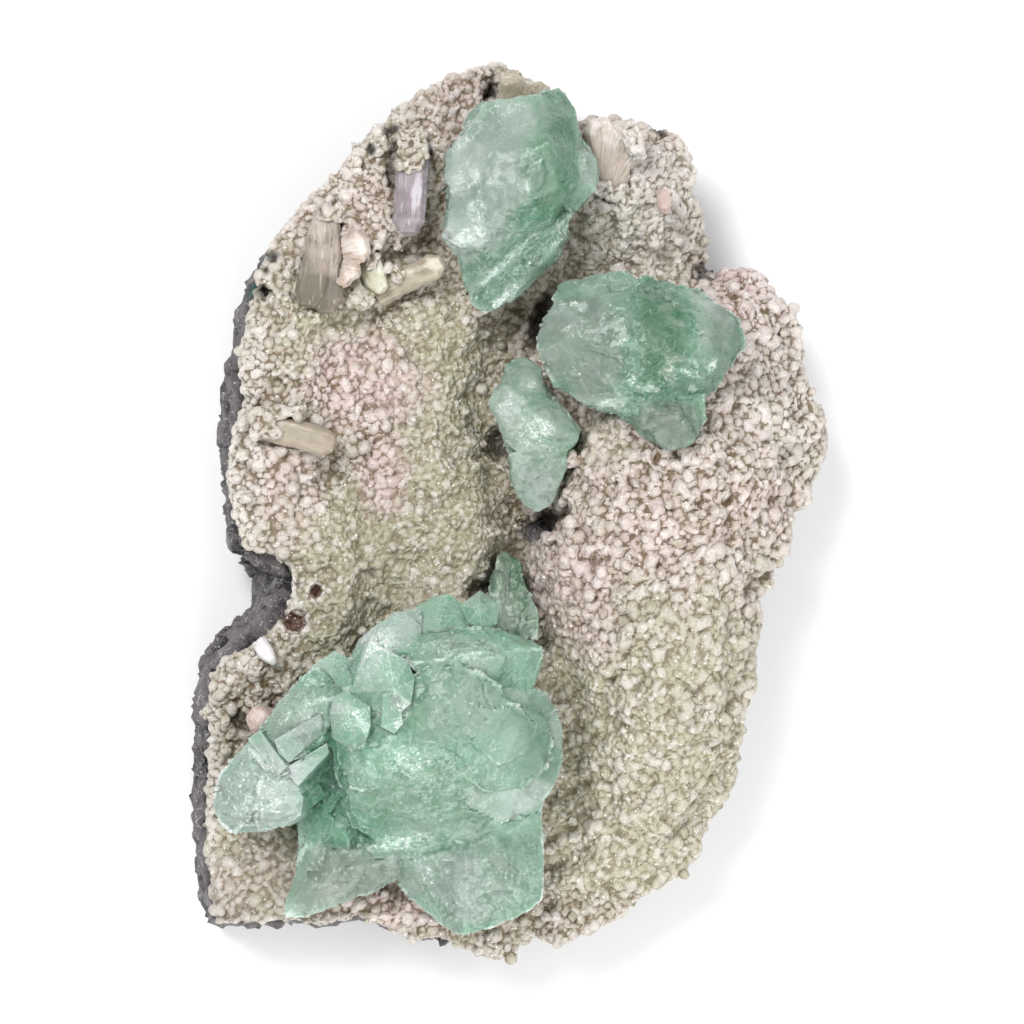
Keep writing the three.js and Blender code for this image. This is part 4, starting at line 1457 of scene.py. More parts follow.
    def merged(self, skin: Piece, sown: Sown, material: Material) -> list[Piece]:
        """Grows the crust and most of its grains together, and cuts the result into bands.

        Args:
            skin: The bare crust.
            sown: The grains that it takes in.
            material: The druse's material.

        Returns:
            The finished bands.
        """
        grown = self.grains("grown", sown, self.seed)
        join(skin, grown)
        remesh(skin, self.fine_voxel)
        fields = self.fields(skin)
        points, rows = points_of(skin), triangles_of(skin)
        bpy.data.objects.remove(skin)
        rows = self.seen(points, rows)
        rows = rows[np.argsort(points[rows].mean(1)[:, 1])]
        bands = []
        for number, band in enumerate(np.array_split(rows, math.ceil(len(rows) / self.limit))):
            used, local = np.unique(band, return_inverse=True)
            piece = mesh_from(f"druse_crust_{number + 1}", points[used], local.reshape(-1, 3))
            paint(piece, **{name: values[used] for name, values in fields.items()})
            shade(piece)
            bands.append(settle(piece, "crust", material, *(() if number else ("zeolite_crust",))))
        return bands

    def build(self) -> list[Piece]:
        """Makes the crust and its grains."""
        material = DruseFinish().make()
        skin = self.make_skin()
        grains = self.sow(skin)
        loose = np.random.default_rng(self.seed).random(len(grains.sizes)) < self.loose_share
        loose &= view_steps(grains.places)[:, 0] > self.right_side[0]
        pieces = self.merged(skin, grains.part(~loose), material)
        piece = self.grains("druse_grains", grains.part(loose), self.seed + 1)
        pieces.append(settle(piece, "crust", material))
        return pieces


# ---- The apophyllite ----


@dataclass(frozen=True)
class Crystal:
    """One crystal of a spray, by the corners of its outer side.

    Each corner is a column and a row of the view frame and a height in millimetres. The height counts
    from the table or, for a crystal that is proud of its spray, from the spray's own surface.
    """

    corners: tuple[Place, ...]
    thick: float = 8.0
    draw_in: float = 0.2
    proud: bool = False
    overlap: float = 0.4 * MM
    crisp: bool = False
    growth: float = 0.14 * MM
    rim: float = 0.2 * MM

    def model(self, hub: Place, ground: Ground) -> Piece:
        """Models the crystal as a closed body that narrows towards the spray's root.

        Args:
            hub: The place that the spray grows from.
            ground: The spray's own surface.

        Returns:
            The new object.
        """
        low = [ground.height(x, y) if self.proud else 0 for x, y, _ in self.corners]
        outer = np.array([seat(x, y, z * MM + base) for (x, y, z), base in zip(self.corners, low)])
        outer[:, :2] += unit(outer[:, :2] - outer[:, :2].mean(0)) * self.overlap
        inner = outer + (np.array(hub) - outer) * self.draw_in
        inner[:, 2] = outer[:, 2] - self.thick * MM
        mesh = bpy.data.meshes.new("crystal")
        mesh.from_pydata([tuple(v) for v in (*outer, *inner)], [], [])
        piece = placed("crystal", mesh)
        with editing(piece):
            bpy.ops.mesh.convex_hull()
            bpy.ops.mesh.select_all(action="SELECT")
            bpy.ops.mesh.dissolve_limited(angle_limit=FLAT_ANGLE)
            bpy.ops.mesh.normals_make_consistent(inside=False)
            bpy.ops.mesh.quads_convert_to_tris(quad_method="BEAUTY", ngon_method="BEAUTY")
        return piece


def sharpened(crystal: Crystal, hub: Place, ground: Ground, seed: int) -> Piece:
    """Models a crystal that keeps its sharp edges, slightly larger than in the grown-together spray.

    Args:
        crystal: The crystal.
        hub: The place that the spray grows from.
        ground: The spray's own surface.
        seed: The seed of its faces' painted light.

    Returns:
        The new object.
    """
    piece = crystal.model(hub, ground)
    points = points_of(piece)
    move_points(piece, points + unit(points - points.mean(0)) * crystal.growth)
    with editing(piece):
        bpy.ops.mesh.dissolve_limited(angle_limit=FLAT_ANGLE)
    corners = len(piece.data.vertices)
    with editing(piece):
        bpy.ops.mesh.inset(thickness=crystal.rim, use_individual=True)
    rim = np.arange(len(piece.data.vertices)) < corners
    # Painted facet light: each face gets a brightness of its own, and the inset rims a painted edge
    # highlight.
    glow = np.full(len(rim), 0.6)
    chance = np.random.default_rng(seed)
    for face in piece.data.polygons:
        inner = [number for number in face.vertices if number >= corners]
        if len(inner) == len(face.vertices):
            glow[inner] = chance.uniform(0.1, 0.8)
    paint(piece, glow=glow, crease=rim * 1.0, groove=rim * 0.0, solid=np.full(len(rim), 0.45))
    return piece


# The zones of a spray that its finish reads, besides the painted sheen.
ZONES = ("frost", "deep", "clear", "dim", "speck")


@dataclass
class Spray:
    """A spray of apophyllite crystals that grow from one point."""

    node: str
    hub: Place
    voxel: float
    breakage: tuple[Breakage, ...]
    crystals: tuple[Crystal, ...] = ()
    reach: float = 26 * MM
    draw_out: float = 0.16
    soften: int = 1
    bundle: float = 1.9 * MM
    stagger: float = 0.22 * MM
    ridge: float = 0.1 * MM
    terrace: float = 0.12 * MM
    terrace_width: float = 2.6 * MM
    edge_relief: float = 0.22 * MM
    clearing: float = 0.8 * MM
    teeth: int = 60
    tooth_size: Span = (0.8 * MM, 1.7 * MM)
    frost: Patches = ()
    deep: Patches = ()
    pearl: Patches = ()
    clear: Patches = ()
    dim: Patches = ()
    speck: Patches = ()
    seed: int = 3

    def rays(self, points: Array) -> Array:
        """Places points in a space that is short along the crystals' growth.

        Args:
            points: Rows of x, y and z.

        Returns:
            Rows of three, in metres.
        """
        away = points - np.array(self.hub)
        far = np.linalg.norm(away, axis=1, keepdims=True)
        return unit(away) * np.minimum(self.reach + far * self.draw_out, far * (1 + self.draw_out))

    def shape(self, piece: Piece) -> None:
        """Breaks the surface into stepped blocks, terraces and ridges that follow the growth."""
        noise = SoftNoise(self.seed)
        points = points_of(piece)
        far = np.linalg.norm(points - np.array(self.hub), axis=1)
        phase = far / self.terrace_width + noise.layered(self.rays(points), 7 * MM, 2) * 1.6
        steps = (phase - np.floor(phase) - 0.5) * self.terrace
        move_points(piece, points + normals_of(piece) * steps[:, None])
        for breakage in self.breakage:
            points = points_of(piece)
            move_points(piece, breakage.act(points, normals_of(piece), self.rays(points), self.seed))
        points = points_of(piece)
        bundle, _ = cells_of(self.rays(points), self.bundle, self.seed + 2)
        lengths = np.random.default_rng(self.seed).uniform(-1, 1, bundle.max() + 1)[bundle] * self.stagger
        lengths *= soft_step(0.75, 0.35, np.abs(normals_of(piece)[:, 2]))
        move_points(piece, points + unit(points - np.array(self.hub)) * lengths[:, None])
        points, normals = points_of(piece), normals_of(piece)
        ridges = noise.layered(self.rays(points), 1.1 * MM, 2) * self.ridge
        move_points(piece, points + normals * ridges[:, None])
        apply_modifier(piece, "SMOOTH", factor=0.5, iterations=1)

    def lights_and_tones(self, piece: Piece, tree: BVHTree, owners: list[int]) -> Array:
        """Gives each crystal a brightness of its own, each of its faces a painted light by the way it faces,
        and more brightness towards the tip.

        Args:
            piece: The spray with its crystals joined.
            tree: The crystals' faces.
            owners: The number of each face's crystal.

        Returns:
            A value from 0 to 1 for each point.
        """
        bright = np.random.default_rng(self.seed).uniform(0.0, 0.6, len(self.crystals) + 1)
        points = points_of(piece)
        values = np.full(len(points), 0.5)
        for number, point in enumerate(points):
            _, facing, face, _ = tree.find_nearest(Vector(point), 1.0 * MM)
            if face is not None:
                facet = sum(round(value * 8) * key for value, key in zip(facing, SoftNoise.KEYS)) % 101 / 101
                values[number] = bright[owners[face]] + 0.4 * facet
        far = np.linalg.norm(points - np.array(self.hub), axis=1)
        tip = (far - far.min()) / (far.max() - far.min())
        return np.clip(averaged(piece, values[:, None], 3)[:, 0] + (tip - 0.6) * 0.5, 0, 1)

    def make_room(self, piece: Piece, part: Piece) -> None:
        """Lowers the spray's own surface where a crystal stands on it.

        Args:
            piece: The spray.
            part: The crystal.
        """
        tree = tree_of(part.data)
        points = points_of(piece)
        low, high = points_of(part).min(0), points_of(part).max(0)
        near = (points[:, :2] > low[:2]).all(1) & (points[:, :2] < high[:2]).all(1) & (points[:, 2] > low[2])
        for number in np.flatnonzero(near):
            x, y, z = points[number]
            top = tree.ray_cast(Vector((x, y, 1.0)), DOWN)[0]
            if top is not None and z < top.z + self.clearing:
                points[number, 2] = min(z, top.z - self.clearing)
        move_points(piece, points)

    def small_crystals(self, piece: Piece) -> Piece:
        """Sets small square crystals on the ends and rims of the spray.

        Args:
            piece: The spray.

        Returns:
            The small crystals as one object.
        """
        chance = np.random.default_rng(self.seed)
        shape, faces = cut_cube("VERTICES", 0.16)
        shape[:, :2] *= np.where(shape[:, 2:] > 0, 0.55, 1)
        points, normals = points_of(piece), normals_of(piece)
        outward = unit(points - np.array(self.hub))
        rim = ((outward * normals).sum(1) > 0.55) & (np.abs(normals[:, 2]) < 0.5) & (outward[:, 2] > -0.3)
        ends = np.flatnonzero(rim)
        chosen = ends[chance.choice(len(ends), min(self.teeth, len(ends)), replace=False)]
        up = unit(outward[chosen] + chance.normal(0, 0.13, (len(chosen), 3)))
        turn = SoftNoise(self.seed + 5).plain(points[chosen], 12 * MM)[:, None] * 2
        other = [0.2, 0.1, 1.0] + turn * [1, -1, 0]
        size = chance.uniform(*self.tooth_size, (len(chosen), 1)) * chance.uniform(0.7, 1.3, (len(chosen), 3))
        size[:, 2] *= 1.5
        middle = points[chosen] - up * size[:, 2:] * 0.32
        world, rows = copies((shape, faces), size, up, other, middle)
        small = mesh_from("small_crystals", world.reshape(-1, 3), rows)
        tones = np.repeat(chance.random(len(chosen)), len(shape))
        paint(small, glow=tones * 0.5 + 0.35, crease=tones * 0, groove=tones * 0, solid=tones * 0 + 0.5)
        return small

    def build(self, material: Material) -> Piece:
        """Makes the spray."""
        piece = copy_of(self.node, self.node.replace("apophyllite_", "") + "_crystals")
        remesh(piece, self.voxel)
        ground = Ground(piece)
        corners, faces, owners, parts = [], [], [], []
        for number, crystal in enumerate(self.crystals):
            part = crystal.model(self.hub, ground)
            self.make_room(piece, part)
            if crystal.crisp:
                bpy.data.objects.remove(part)
                continue
            parts.append(part)
            faces += [tuple(len(corners) + n for n in face.vertices) for face in part.data.polygons]
            owners += [number] * len(part.data.polygons)
            corners += [corner.co.copy() for corner in part.data.vertices]
        join(piece, *parts)
        remesh(piece, self.voxel)
        glow = self.lights_and_tones(piece, BVHTree.FromPolygons(corners, faces), owners)
        if self.soften:
            apply_modifier(piece, "SMOOTH", factor=0.5, iterations=self.soften)
        # Ridges get a painted edge highlight and creases get painted shade.
        relief = relief_of(piece, 8) / self.edge_relief
        paint(piece, glow=glow, crease=np.clip(relief, 0, 1), groove=np.clip(-relief, 0, 1), solid=glow * 0)
        self.shape(piece)
        small = self.small_crystals(piece)
        crisp = [crystal for crystal in self.crystals if crystal.crisp]
        sharp = [sharpened(crystal, self.hub, ground, number) for number, crystal in enumerate(crisp)]
        join(piece, small, *sharp)
        points = points_of(piece)
        wobble = SoftNoise(self.seed + 1).layered(points, 4 * MM, 3) * 0.3
        paint(
            piece,
            ray=self.rays(points),
            pearl=share_of(self.pearl, points, wobble * 1.5),
            **{name: share_of(getattr(self, name), points, wobble) for name in ZONES},
        )
        choose(piece)
        bpy.ops.object.shade_smooth_by_angle(angle=SMOOTH_ANGLE)
        return settle(piece, "apophyllite", material, self.node)


def drawn(x: float, y: float, z: float) -> Place:
    """Turns a place on the drawing, in millimetres, into a place on the part."""
    return tuple(v * MM + shift for v, shift in zip((x, y, z), DRAWING_SHIFT))


ROSETTE_CRYSTALS = (
    # The long wedge at the upper right, with its ridge.
    Crystal(((400, 643, 53), (428, 634, 52.5), (461, 629, 52), (491, 627, 51.5), (515, 635, 50.5),
             (545, 649, 50), (530, 685, 50.5), (508, 696, 51.5), (484, 692, 55.5), (430, 680, 58),
             (412, 662, 60), (462, 655, 60.6), (505, 651, 57)), thick=12),
    # The smooth plateau in the middle.
    Crystal(((414, 676, 58.5), (440, 668, 59.5), (474, 672, 59.8), (500, 690, 57), (506, 720, 55.5),
             (482, 747, 56), (440, 752, 56.5), (412, 735, 58), (405, 702, 58.5), (450, 704, 61.2)), thick=11),
    # The pyramid and the bright face below it.
    Crystal(((371, 643, 56), (355, 677, 54), (353, 692, 55), (373, 707, 57.5), (393, 716, 59.6),
             (409, 702, 60.6), (412, 680, 60), (406, 662, 58.5), (388, 654, 58), (392, 688, 61.8)),
            thick=11, crisp=True),
    Crystal(((384, 696, 61), (399, 697, 61.4), (401, 722, 60.4), (394, 731, 59.5), (383, 725, 59.8)),
            thick=7, crisp=True),
    # The bright block and the dark gap at its right.
    Crystal(((335, 699, 57), (346, 693, 58), (368, 708, 60), (368, 725, 60), (365, 737, 58.6),
             (354, 748, 56.5), (335, 737, 56), (332, 715, 56.5), (352, 714, 61.4)), thick=10, crisp=True),
    # The rounded shell below them, one layer over another.
    Crystal(((338, 743, 54.5), (354, 747, 56.8), (374, 747, 58), (392, 753, 58.4), (395, 769, 57.2),
             (383, 785, 55), (364, 790, 53.4), (349, 785, 53), (340, 764, 54), (366, 765, 58.4)), thick=7),
    Crystal(((334, 742, 52.5), (338, 776, 50.5), (348, 799, 49.5), (372, 806, 50.5), (398, 797, 53.5),
             (408, 770, 57), (398, 748, 58), (360, 742, 56.5)), thick=9),
    # The long slope down to the shelf.
    Crystal(((408, 740, 58), (446, 752, 57.6), (470, 770, 54.5), (462, 800, 51), (430, 826, 47.5),
             (392, 836, 45.5), (360, 828, 46), (345, 800, 49), (400, 780, 56.5)), thick=10),
    # The layers of the right petal.
    Crystal(((500, 690, 54.5), (532, 692, 49.5), (552, 702, 47), (562, 726, 46), (564, 755, 45.4),
             (556, 785, 45), (541, 803, 44.6), (505, 822, 45.6), (468, 806, 50.4), (470, 748, 56)), thick=9),
    Crystal(((498, 700, 56.4), (541, 712, 50), (553, 738, 48.8), (548, 764, 48.4), (520, 786, 49.4),
             (486, 792, 51.8), (462, 772, 54.8), (470, 742, 57)), thick=8),
    Crystal(((500, 704, 57.2), (520, 706, 54.4), (534, 724, 52.2), (530, 748, 51.6), (500, 764, 53.6),
             (476, 742, 57.6)), thick=7),
    Crystal(((529, 689, 50.4), (546, 693, 48.6), (558, 707, 47.4), (548, 716, 49.2), (526, 706, 51.6)),
            thick=7),
    # The shelf and its bright underside.
    Crystal(((366, 849, 43), (392, 838, 45.6), (432, 828, 48), (474, 816, 48.4), (505, 826, 44.6),
             (470, 843, 42.4), (430, 855, 41.6), (385, 857, 41.2)), thick=7),
    # The silvery crystal at the back, and the small ones behind it.
    Crystal(((349, 662, 49), (359, 641, 50), (377, 625, 50), (398, 611, 48.6), (417, 606, 47.6),
             (419, 632, 52.6), (402, 655, 57), (382, 645, 56), (366, 650, 54.6), (355, 669, 53.6)), thick=11),
    Crystal(((434, 599, 43), (447, 596, 43), (463, 606, 45), (471, 625, 48.6), (438, 630, 51), (420, 634, 51),
             (413, 611, 46)), thick=9, crisp=True),
    Crystal(((463, 606, 46.5), (480, 593, 45.4), (497, 606, 46.4), (495, 622, 48.6), (482, 628, 50),
             (470, 621, 49.6), (480, 611, 51.4)), thick=9, crisp=True),
    # The left wing, its bright end and the stepped blocks.
    Crystal(((214, 795, 43), (219, 776, 44), (231, 757, 45.4), (252, 737, 46.6), (268, 757, 49),
             (288, 782, 49.6), (254, 808, 48.6), (231, 834, 41.4), (217, 822, 41.4), (250, 770, 49.4)),
            thick=9),
    Crystal(((268, 770, 50), (288, 776, 51), (301, 798, 49.4), (298, 815, 47.6), (284, 827, 44.8),
             (262, 831, 43.4), (254, 808, 48), (260, 786, 51)), thick=9),
    Crystal(((250, 740, 50), (261, 733, 51.4), (284, 765, 53.4), (277, 774, 52)), thick=8, crisp=True),
    Crystal(((262, 725, 50), (276, 703, 51.4), (300, 678, 52), (314, 666, 52.4), (334, 687, 55),
             (338, 702, 56), (331, 722, 55.4), (318, 738, 54.4), (296, 752, 53), (272, 736, 51),
             (306, 706, 56.6)), thick=12),
    Crystal(((277, 740, 53), (318, 716, 56), (324, 730, 55), (290, 760, 53), (281, 752, 52.6)),
            thick=8, crisp=True),
    Crystal(((287, 768, 52), (325, 745, 53.6), (327, 754, 52.6), (299, 784, 50.6)), thick=8, crisp=True),
    Crystal(((314, 667, 48), (336, 653, 48), (355, 666, 50.4), (356, 684, 53), (339, 702, 54),
             (331, 688, 53)),
            thick=10, crisp=True),
    # The lower petals, each with its ridges.
    Crystal(((396, 871, 38), (405, 855, 41.2), (428, 852, 43), (475, 856, 44.4), (508, 826, 44),
             (539, 808, 42.6), (542, 820, 41), (543, 862, 39.4), (542, 898, 37), (530, 910, 36.4),
             (491, 926, 35.6), (463, 935, 35.4), (438, 923, 35.8), (413, 899, 36.6), (440, 862, 44),
             (484, 862, 44.6)), thick=6, draw_in=0.1),
    Crystal(((304, 848, 38.4), (345, 853, 41), (397, 857, 42), (395, 877, 38.6), (368, 893, 37.4),
             (335, 905, 36.6), (317, 914, 36), (286, 918, 35.4), (285, 905, 35.6), (330, 870, 41.4),
             (372, 868, 42)), thick=5, draw_in=0.1),
)


def rod(start: Span, end: Span, width: float, lift: float = 0.6) -> Crystal:
    """Describes a slim crystal that lies on its spray.

    Args:
        start: The column and row of its first end.
        end: The column and row of its other end.
        width: How wide it is, in steps of the view frame.
        lift: How far its ridge stands out, in millimetres.

    Returns:
        The crystal.
    """
    (x, y), (u, v) = start, end
    length = math.hypot(u - x, v - y)
    along = ((u - x) / length, (v - y) / length)
    side = (-along[1] * width / 2, along[0] * width / 2)
    corners = []
    for share, narrow in ((0.0, 0.5), (0.12, 1.0), (0.9, 1.0), (1.0, 0.6)):
        middle = (x + (u - x) * share, y + (v - y) * share)
        corners.append((middle[0] + side[0] * narrow, middle[1] + side[1] * narrow, 0.1))
        corners.append((middle[0] - side[0] * narrow, middle[1] - side[1] * narrow, 0.1))
        corners.append((*middle, lift * narrow))
    return Crystal(tuple(corners), thick=4, draw_in=0.05, proud=True, overlap=0)


def layer(*corners: Place) -> Crystal:
    """Describes a low layer that lies on its spray."""
    return Crystal(corners, proud=True)


UPPER_CRYSTALS = (
    # The pale body's outer layers at the left.
    layer((446, 150, 0.0), (466, 138, 0.3), (480, 150, 0.5), (476, 176, 0.6), (452, 188, 0.1),
          (443, 180, -0.2)),
    layer((449, 190, -0.1), (480, 186, 0.5), (494, 210, 0.5), (488, 240, 0.2), (470, 252, -0.1),
          (452, 249, -0.4), (442, 241, -0.5), (445, 215, -0.2)),
    layer((446, 228, 0.1), (476, 222, 0.8), (482, 238, 0.7), (462, 251, 0.1), (444, 244, -0.1)),
    layer((462, 122, 0.1), (482, 100, -0.1), (500, 108, 0.5), (492, 132, 0.6), (468, 140, 0.4)),
    layer((498, 100, -0.1), (538, 94, -0.1), (536, 118, 0.5), (512, 128, 0.6), (500, 116, 0.5)),
    # The green band's long face and the pale block at the right.
    layer((540, 96, 0.0), (560, 88, -0.2), (576, 112, 0.1), (580, 138, 0.2), (562, 146, 0.5),
          (544, 128, 0.5)),
    layer((574, 150, 0.4), (582, 140, 0.1), (597, 158, 0.0), (598, 180, -0.1), (590, 194, -0.1),
          (576, 186, 0.4)),
    layer((522, 158, 0.4), (546, 142, 0.5), (562, 160, 0.6), (558, 188, 0.5), (534, 198, 0.4)),
    # The rods of the sheaf, from the left to the right.
    rod((470, 262), (500, 242), 13),
    rod((468, 276), (520, 236), 11),
    rod((473, 290), (540, 232), 11),
    rod((478, 301), (556, 228), 10, 0.7),
    rod((484, 310), (568, 222), 9, 0.8),
    rod((494, 309), (570, 232), 7, 0.7),
    rod((508, 302), (562, 250), 7, 0.9),
)

FAN_CRYSTALS = (
    # The shells of the pale left side.
    layer((556, 296, 0.0), (575, 284, 0.0), (600, 280, 0.4), (612, 300, 0.7), (590, 322, 0.7),
          (562, 326, 0.4), (548, 312, 0.0)),
    layer((536, 338, -0.2), (556, 326, 0.3), (584, 330, 0.6), (584, 356, 0.5), (550, 362, 0.0),
          (540, 350, -0.1)),
    layer((545, 366, 0.0), (584, 356, 0.5), (618, 362, 0.6), (618, 388, 0.4), (586, 396, 0.1),
          (558, 384, -0.1)),
    layer((588, 326, 0.5), (622, 318, 0.7), (630, 340, 0.7), (618, 358, 0.7), (592, 350, 0.6)),
    layer((576, 397, 0.0), (612, 392, 0.2), (624, 402, 0.0), (604, 411, -0.3), (584, 405, -0.2)),
    # The right side's rays.
    rod((664, 300), (716, 312), 22, 0.5),
    rod((666, 318), (734, 326), 24, 0.5),
    rod((668, 336), (742, 346), 22, 0.5),
    rod((664, 352), (726, 364), 20, 0.5),
    rod((650, 366), (712, 380), 18, 0.6),
    layer((624, 372, 0.5), (640, 368, 0.7), (664, 386, 0.6), (650, 394, 0.4), (632, 388, 0.4)),
)

VALLEY_CRYSTALS = (
    layer((505, 366, -0.2), (524, 357, -0.2), (542, 368, 0.2), (540, 388, 0.8), (516, 392, 0.8)),
    layer((489, 402, -0.2), (508, 390, 0.4), (526, 400, 1.0), (522, 420, 1.0), (500, 422, 0.2)),
    layer((524, 408, 0.9), (556, 400, 0.6), (580, 428, -0.1), (566, 446, 0.0), (530, 440, 0.7)),
    layer((508, 456, 0.0), (536, 450, 0.7), (562, 462, 0.2), (556, 492, -0.2), (536, 510, -0.5),
          (516, 490, 0.0)),
)

CREVICE_CRYSTALS = (
    rod((500, 556), (506, 636), 14),
    rod((516, 566), (522, 640), 12),
    rod((492, 580), (492, 630), 10),
)

# The breakage of the two blocky sprays.
GENTLE = (Breakage(7 * MM, 0.06, 0.12 * MM, 0.5), Breakage(2.4 * MM, 0.04, 0.05 * MM, 0.4))

SPRAYS = (
    Spray(
        "apophyllite_rosette", drawn(-24, -47, 30), 0.4 * MM,
        (Breakage(6 * MM, 0.07, 0.15 * MM, 0.6), Breakage(2.2 * MM, 0.05, 0.06 * MM, 0.5)),
        crystals=ROSETTE_CRYSTALS,
        clear=ovals(
            (350, 880, 50, 34, 0.8), (480, 880, 64, 52, 0.6), (250, 800, 40, 36, 0.4),
            (540, 745, 26, 70, 0.3), (325, 790, 26, 50, 0.4),
        ),
        frost=ovals(
            (262, 790, 50, 50), (262, 755, 30, 20), (300, 715, 40, 30, 0.7), (385, 630, 40, 25, 0.8),
            (460, 655, 60, 22, 0.55), (455, 705, 45, 40, 0.55), (450, 875, 60, 50, 0.7),
            (345, 880, 40, 30, 0.7), (520, 770, 40, 60, 0.3),
        ),
        deep=ovals(
            (325, 780, 26, 60, 0.95), (345, 672, 22, 20, 0.7), (345, 830, 40, 26, 0.6),
            (365, 740, 16, 30, 0.4), (430, 845, 60, 14, 0.5), (400, 715, 20, 30, 0.3),
            (520, 850, 30, 14, 0.5),
        ),
        pearl=ovals(
            (398, 842, 34, 8, 1, 8), (266, 758, 10, 24, 1, 40), (380, 640, 18, 12), (398, 712, 10, 18),
            (350, 722, 16, 24, 0.9), (297, 722, 22, 12, 0.6), (345, 655, 12, 20, 0.5),
            (425, 870, 8, 40, 0.6, 25), (410, 760, 24, 16, 0.8), (350, 780, 26, 20, 0.4),
            (252, 795, 34, 34, 0.6), (300, 700, 30, 30, 0.4), (450, 650, 50, 12, 0.5),
            (480, 880, 50, 50, 0.35), (335, 880, 40, 26, 0.4), (430, 780, 40, 40, 0.3),
        ),
        dim=ovals(
            (430, 800, 70, 40, 0.55), (460, 700, 60, 50, 0.5), (345, 885, 70, 40, 0.8),
            (545, 740, 30, 80, 0.4), (480, 880, 80, 60, 0.2), (300, 715, 50, 40, 0.35),
        ),
        speck=ovals((484, 704, 24, 20, 1, -30), (368, 730, 3, 16, 1, 15)),
        teeth=90,
    ),
    Spray(
        "apophyllite_upper_spray", drawn(12.6, 59.4, 30), 0.36 * MM,
        GENTLE,
        crystals=UPPER_CRYSTALS,
        soften=3,
        teeth=30,
        terrace=0.06 * MM,
        clear=ovals((485, 175, 46, 60, 0.35), (505, 280, 50, 34, 0.4), (560, 110, 22, 30, 0.3)),
        frost=ovals(
            (488, 175, 48, 62, 0.95), (505, 125, 34, 26, 0.8), (589, 172, 10, 24, 0.8), (472, 228, 34, 26),
            (556, 180, 10, 18, 0.4),
        ),
        deep=ovals(
            (558, 118, 20, 36, 0.6), (568, 165, 12, 44, 0.75), (538, 213, 34, 15, 0.7, 12),
            (532, 162, 16, 30, 0.4), (500, 275, 40, 30, 0.35),
        ),
        pearl=ovals(
            (505, 108, 22, 6, 0.6, 10), (470, 132, 22, 8, 0.6, 50), (466, 178, 20, 16, 0.8, 60),
            (476, 212, 12, 14, 0.7), (468, 236, 24, 8, 0.9, 25), (505, 262, 46, 4, 0.8, 44),
            (532, 262, 44, 4, 0.8, 48), (560, 230, 24, 7, 1, 62), (506, 296, 22, 4, 1, 40),
            (580, 162, 6, 14, 0.6),
        ),
        dim=ovals((500, 165, 90, 100, 0.3), (556, 165, 30, 70, 0.65), (510, 275, 60, 45, 0.25)),
        seed=4,
    ),
    Spray(
        "apophyllite_fan_spray", drawn(27, 33, 36), 0.36 * MM,
        GENTLE,
        crystals=FAN_CRYSTALS,
        soften=5,
        reach=13 * MM,
        teeth=60,
        bundle=2.0 * MM,
        stagger=0.7 * MM,
        terrace=0.06 * MM,
        clear=ovals(
            (582, 345, 50, 55, 0.55), (668, 428, 36, 28, 0.9), (728, 345, 16, 50, 0.7),
            (700, 385, 40, 12, 0.5),
        ),
        frost=ovals(
            (582, 345, 46, 50, 0.9), (560, 345, 22, 45, 0.6), (710, 322, 28, 34, 0.6),
            (600, 286, 34, 12, 0.5), (675, 432, 24, 16, 0.35),
        ),
        deep=ovals(
            (661, 338, 34, 66, 1.2), (655, 397, 50, 14, 0.7), (640, 425, 22, 24, 0.45),
            (612, 333, 16, 10, 0.35), (690, 390, 30, 10, 0.4),
        ),
        pearl=ovals(
            (634, 381, 16, 6, 1, -45), (650, 389, 15, 4), (670, 372, 10, 13), (690, 373, 13, 4, 1, -15),
            (711, 367, 9, 4, 1, 45), (693, 388, 5, 4), (609, 403, 10, 4), (577, 306, 9, 7),
            (572, 332, 12, 7, 0.7), (623, 343, 5, 5), (576, 373, 6, 5, 0.7),
        ),
        dim=ovals((645, 350, 130, 90, 0.5), (670, 425, 50, 34, 0.85), (660, 338, 28, 62, 1.0)),
        seed=6,
    ),
    Spray(
        "apophyllite_valley_spray", drawn(5, 16, 26), 0.32 * MM,
        (Breakage(5 * MM, 0.07, 0.12 * MM, 0.5), Breakage(1.8 * MM, 0.05, 0.05 * MM, 0.5)),
        crystals=VALLEY_CRYSTALS,
        soften=5,
        terrace=0.06 * MM,
        clear=ovals((540, 485, 30, 26, 0.4)),
        teeth=16,
        frost=ovals((530, 420, 50, 40, 0.7), (523, 375, 24, 22, 0.7), (540, 485, 30, 26, 0.4)),
        deep=ovals((545, 398, 30, 10, 0.45), (540, 456, 30, 8, 0.5)),
        pearl=ovals((533, 432, 20, 15), (508, 408, 14, 12, 0.9), (532, 382, 5, 4), (520, 490, 16, 20, 0.3)),
        dim=ovals((535, 430, 70, 90, 0.45)),
        seed=8,
    ),
    Spray(
        "apophyllite_crevice_spray", drawn(1, -18, 20), 0.36 * MM,
        (Breakage(4 * MM, 0.1, 0.2 * MM), Breakage(1.5 * MM, 0.1, 0.06 * MM)),
        crystals=CREVICE_CRYSTALS,
        soften=4,
        teeth=12,
        frost=ovals((505, 600, 60, 80, 0.3)),
        deep=ovals((500, 560, 40, 30, 0.5)),
        # This dim patch paints shade over the whole spray, down in its crevice.
        dim=ovals((505, 600, 60, 80, 1.0)),
        seed=9,
    ),
)


# ---- The stilbite ----


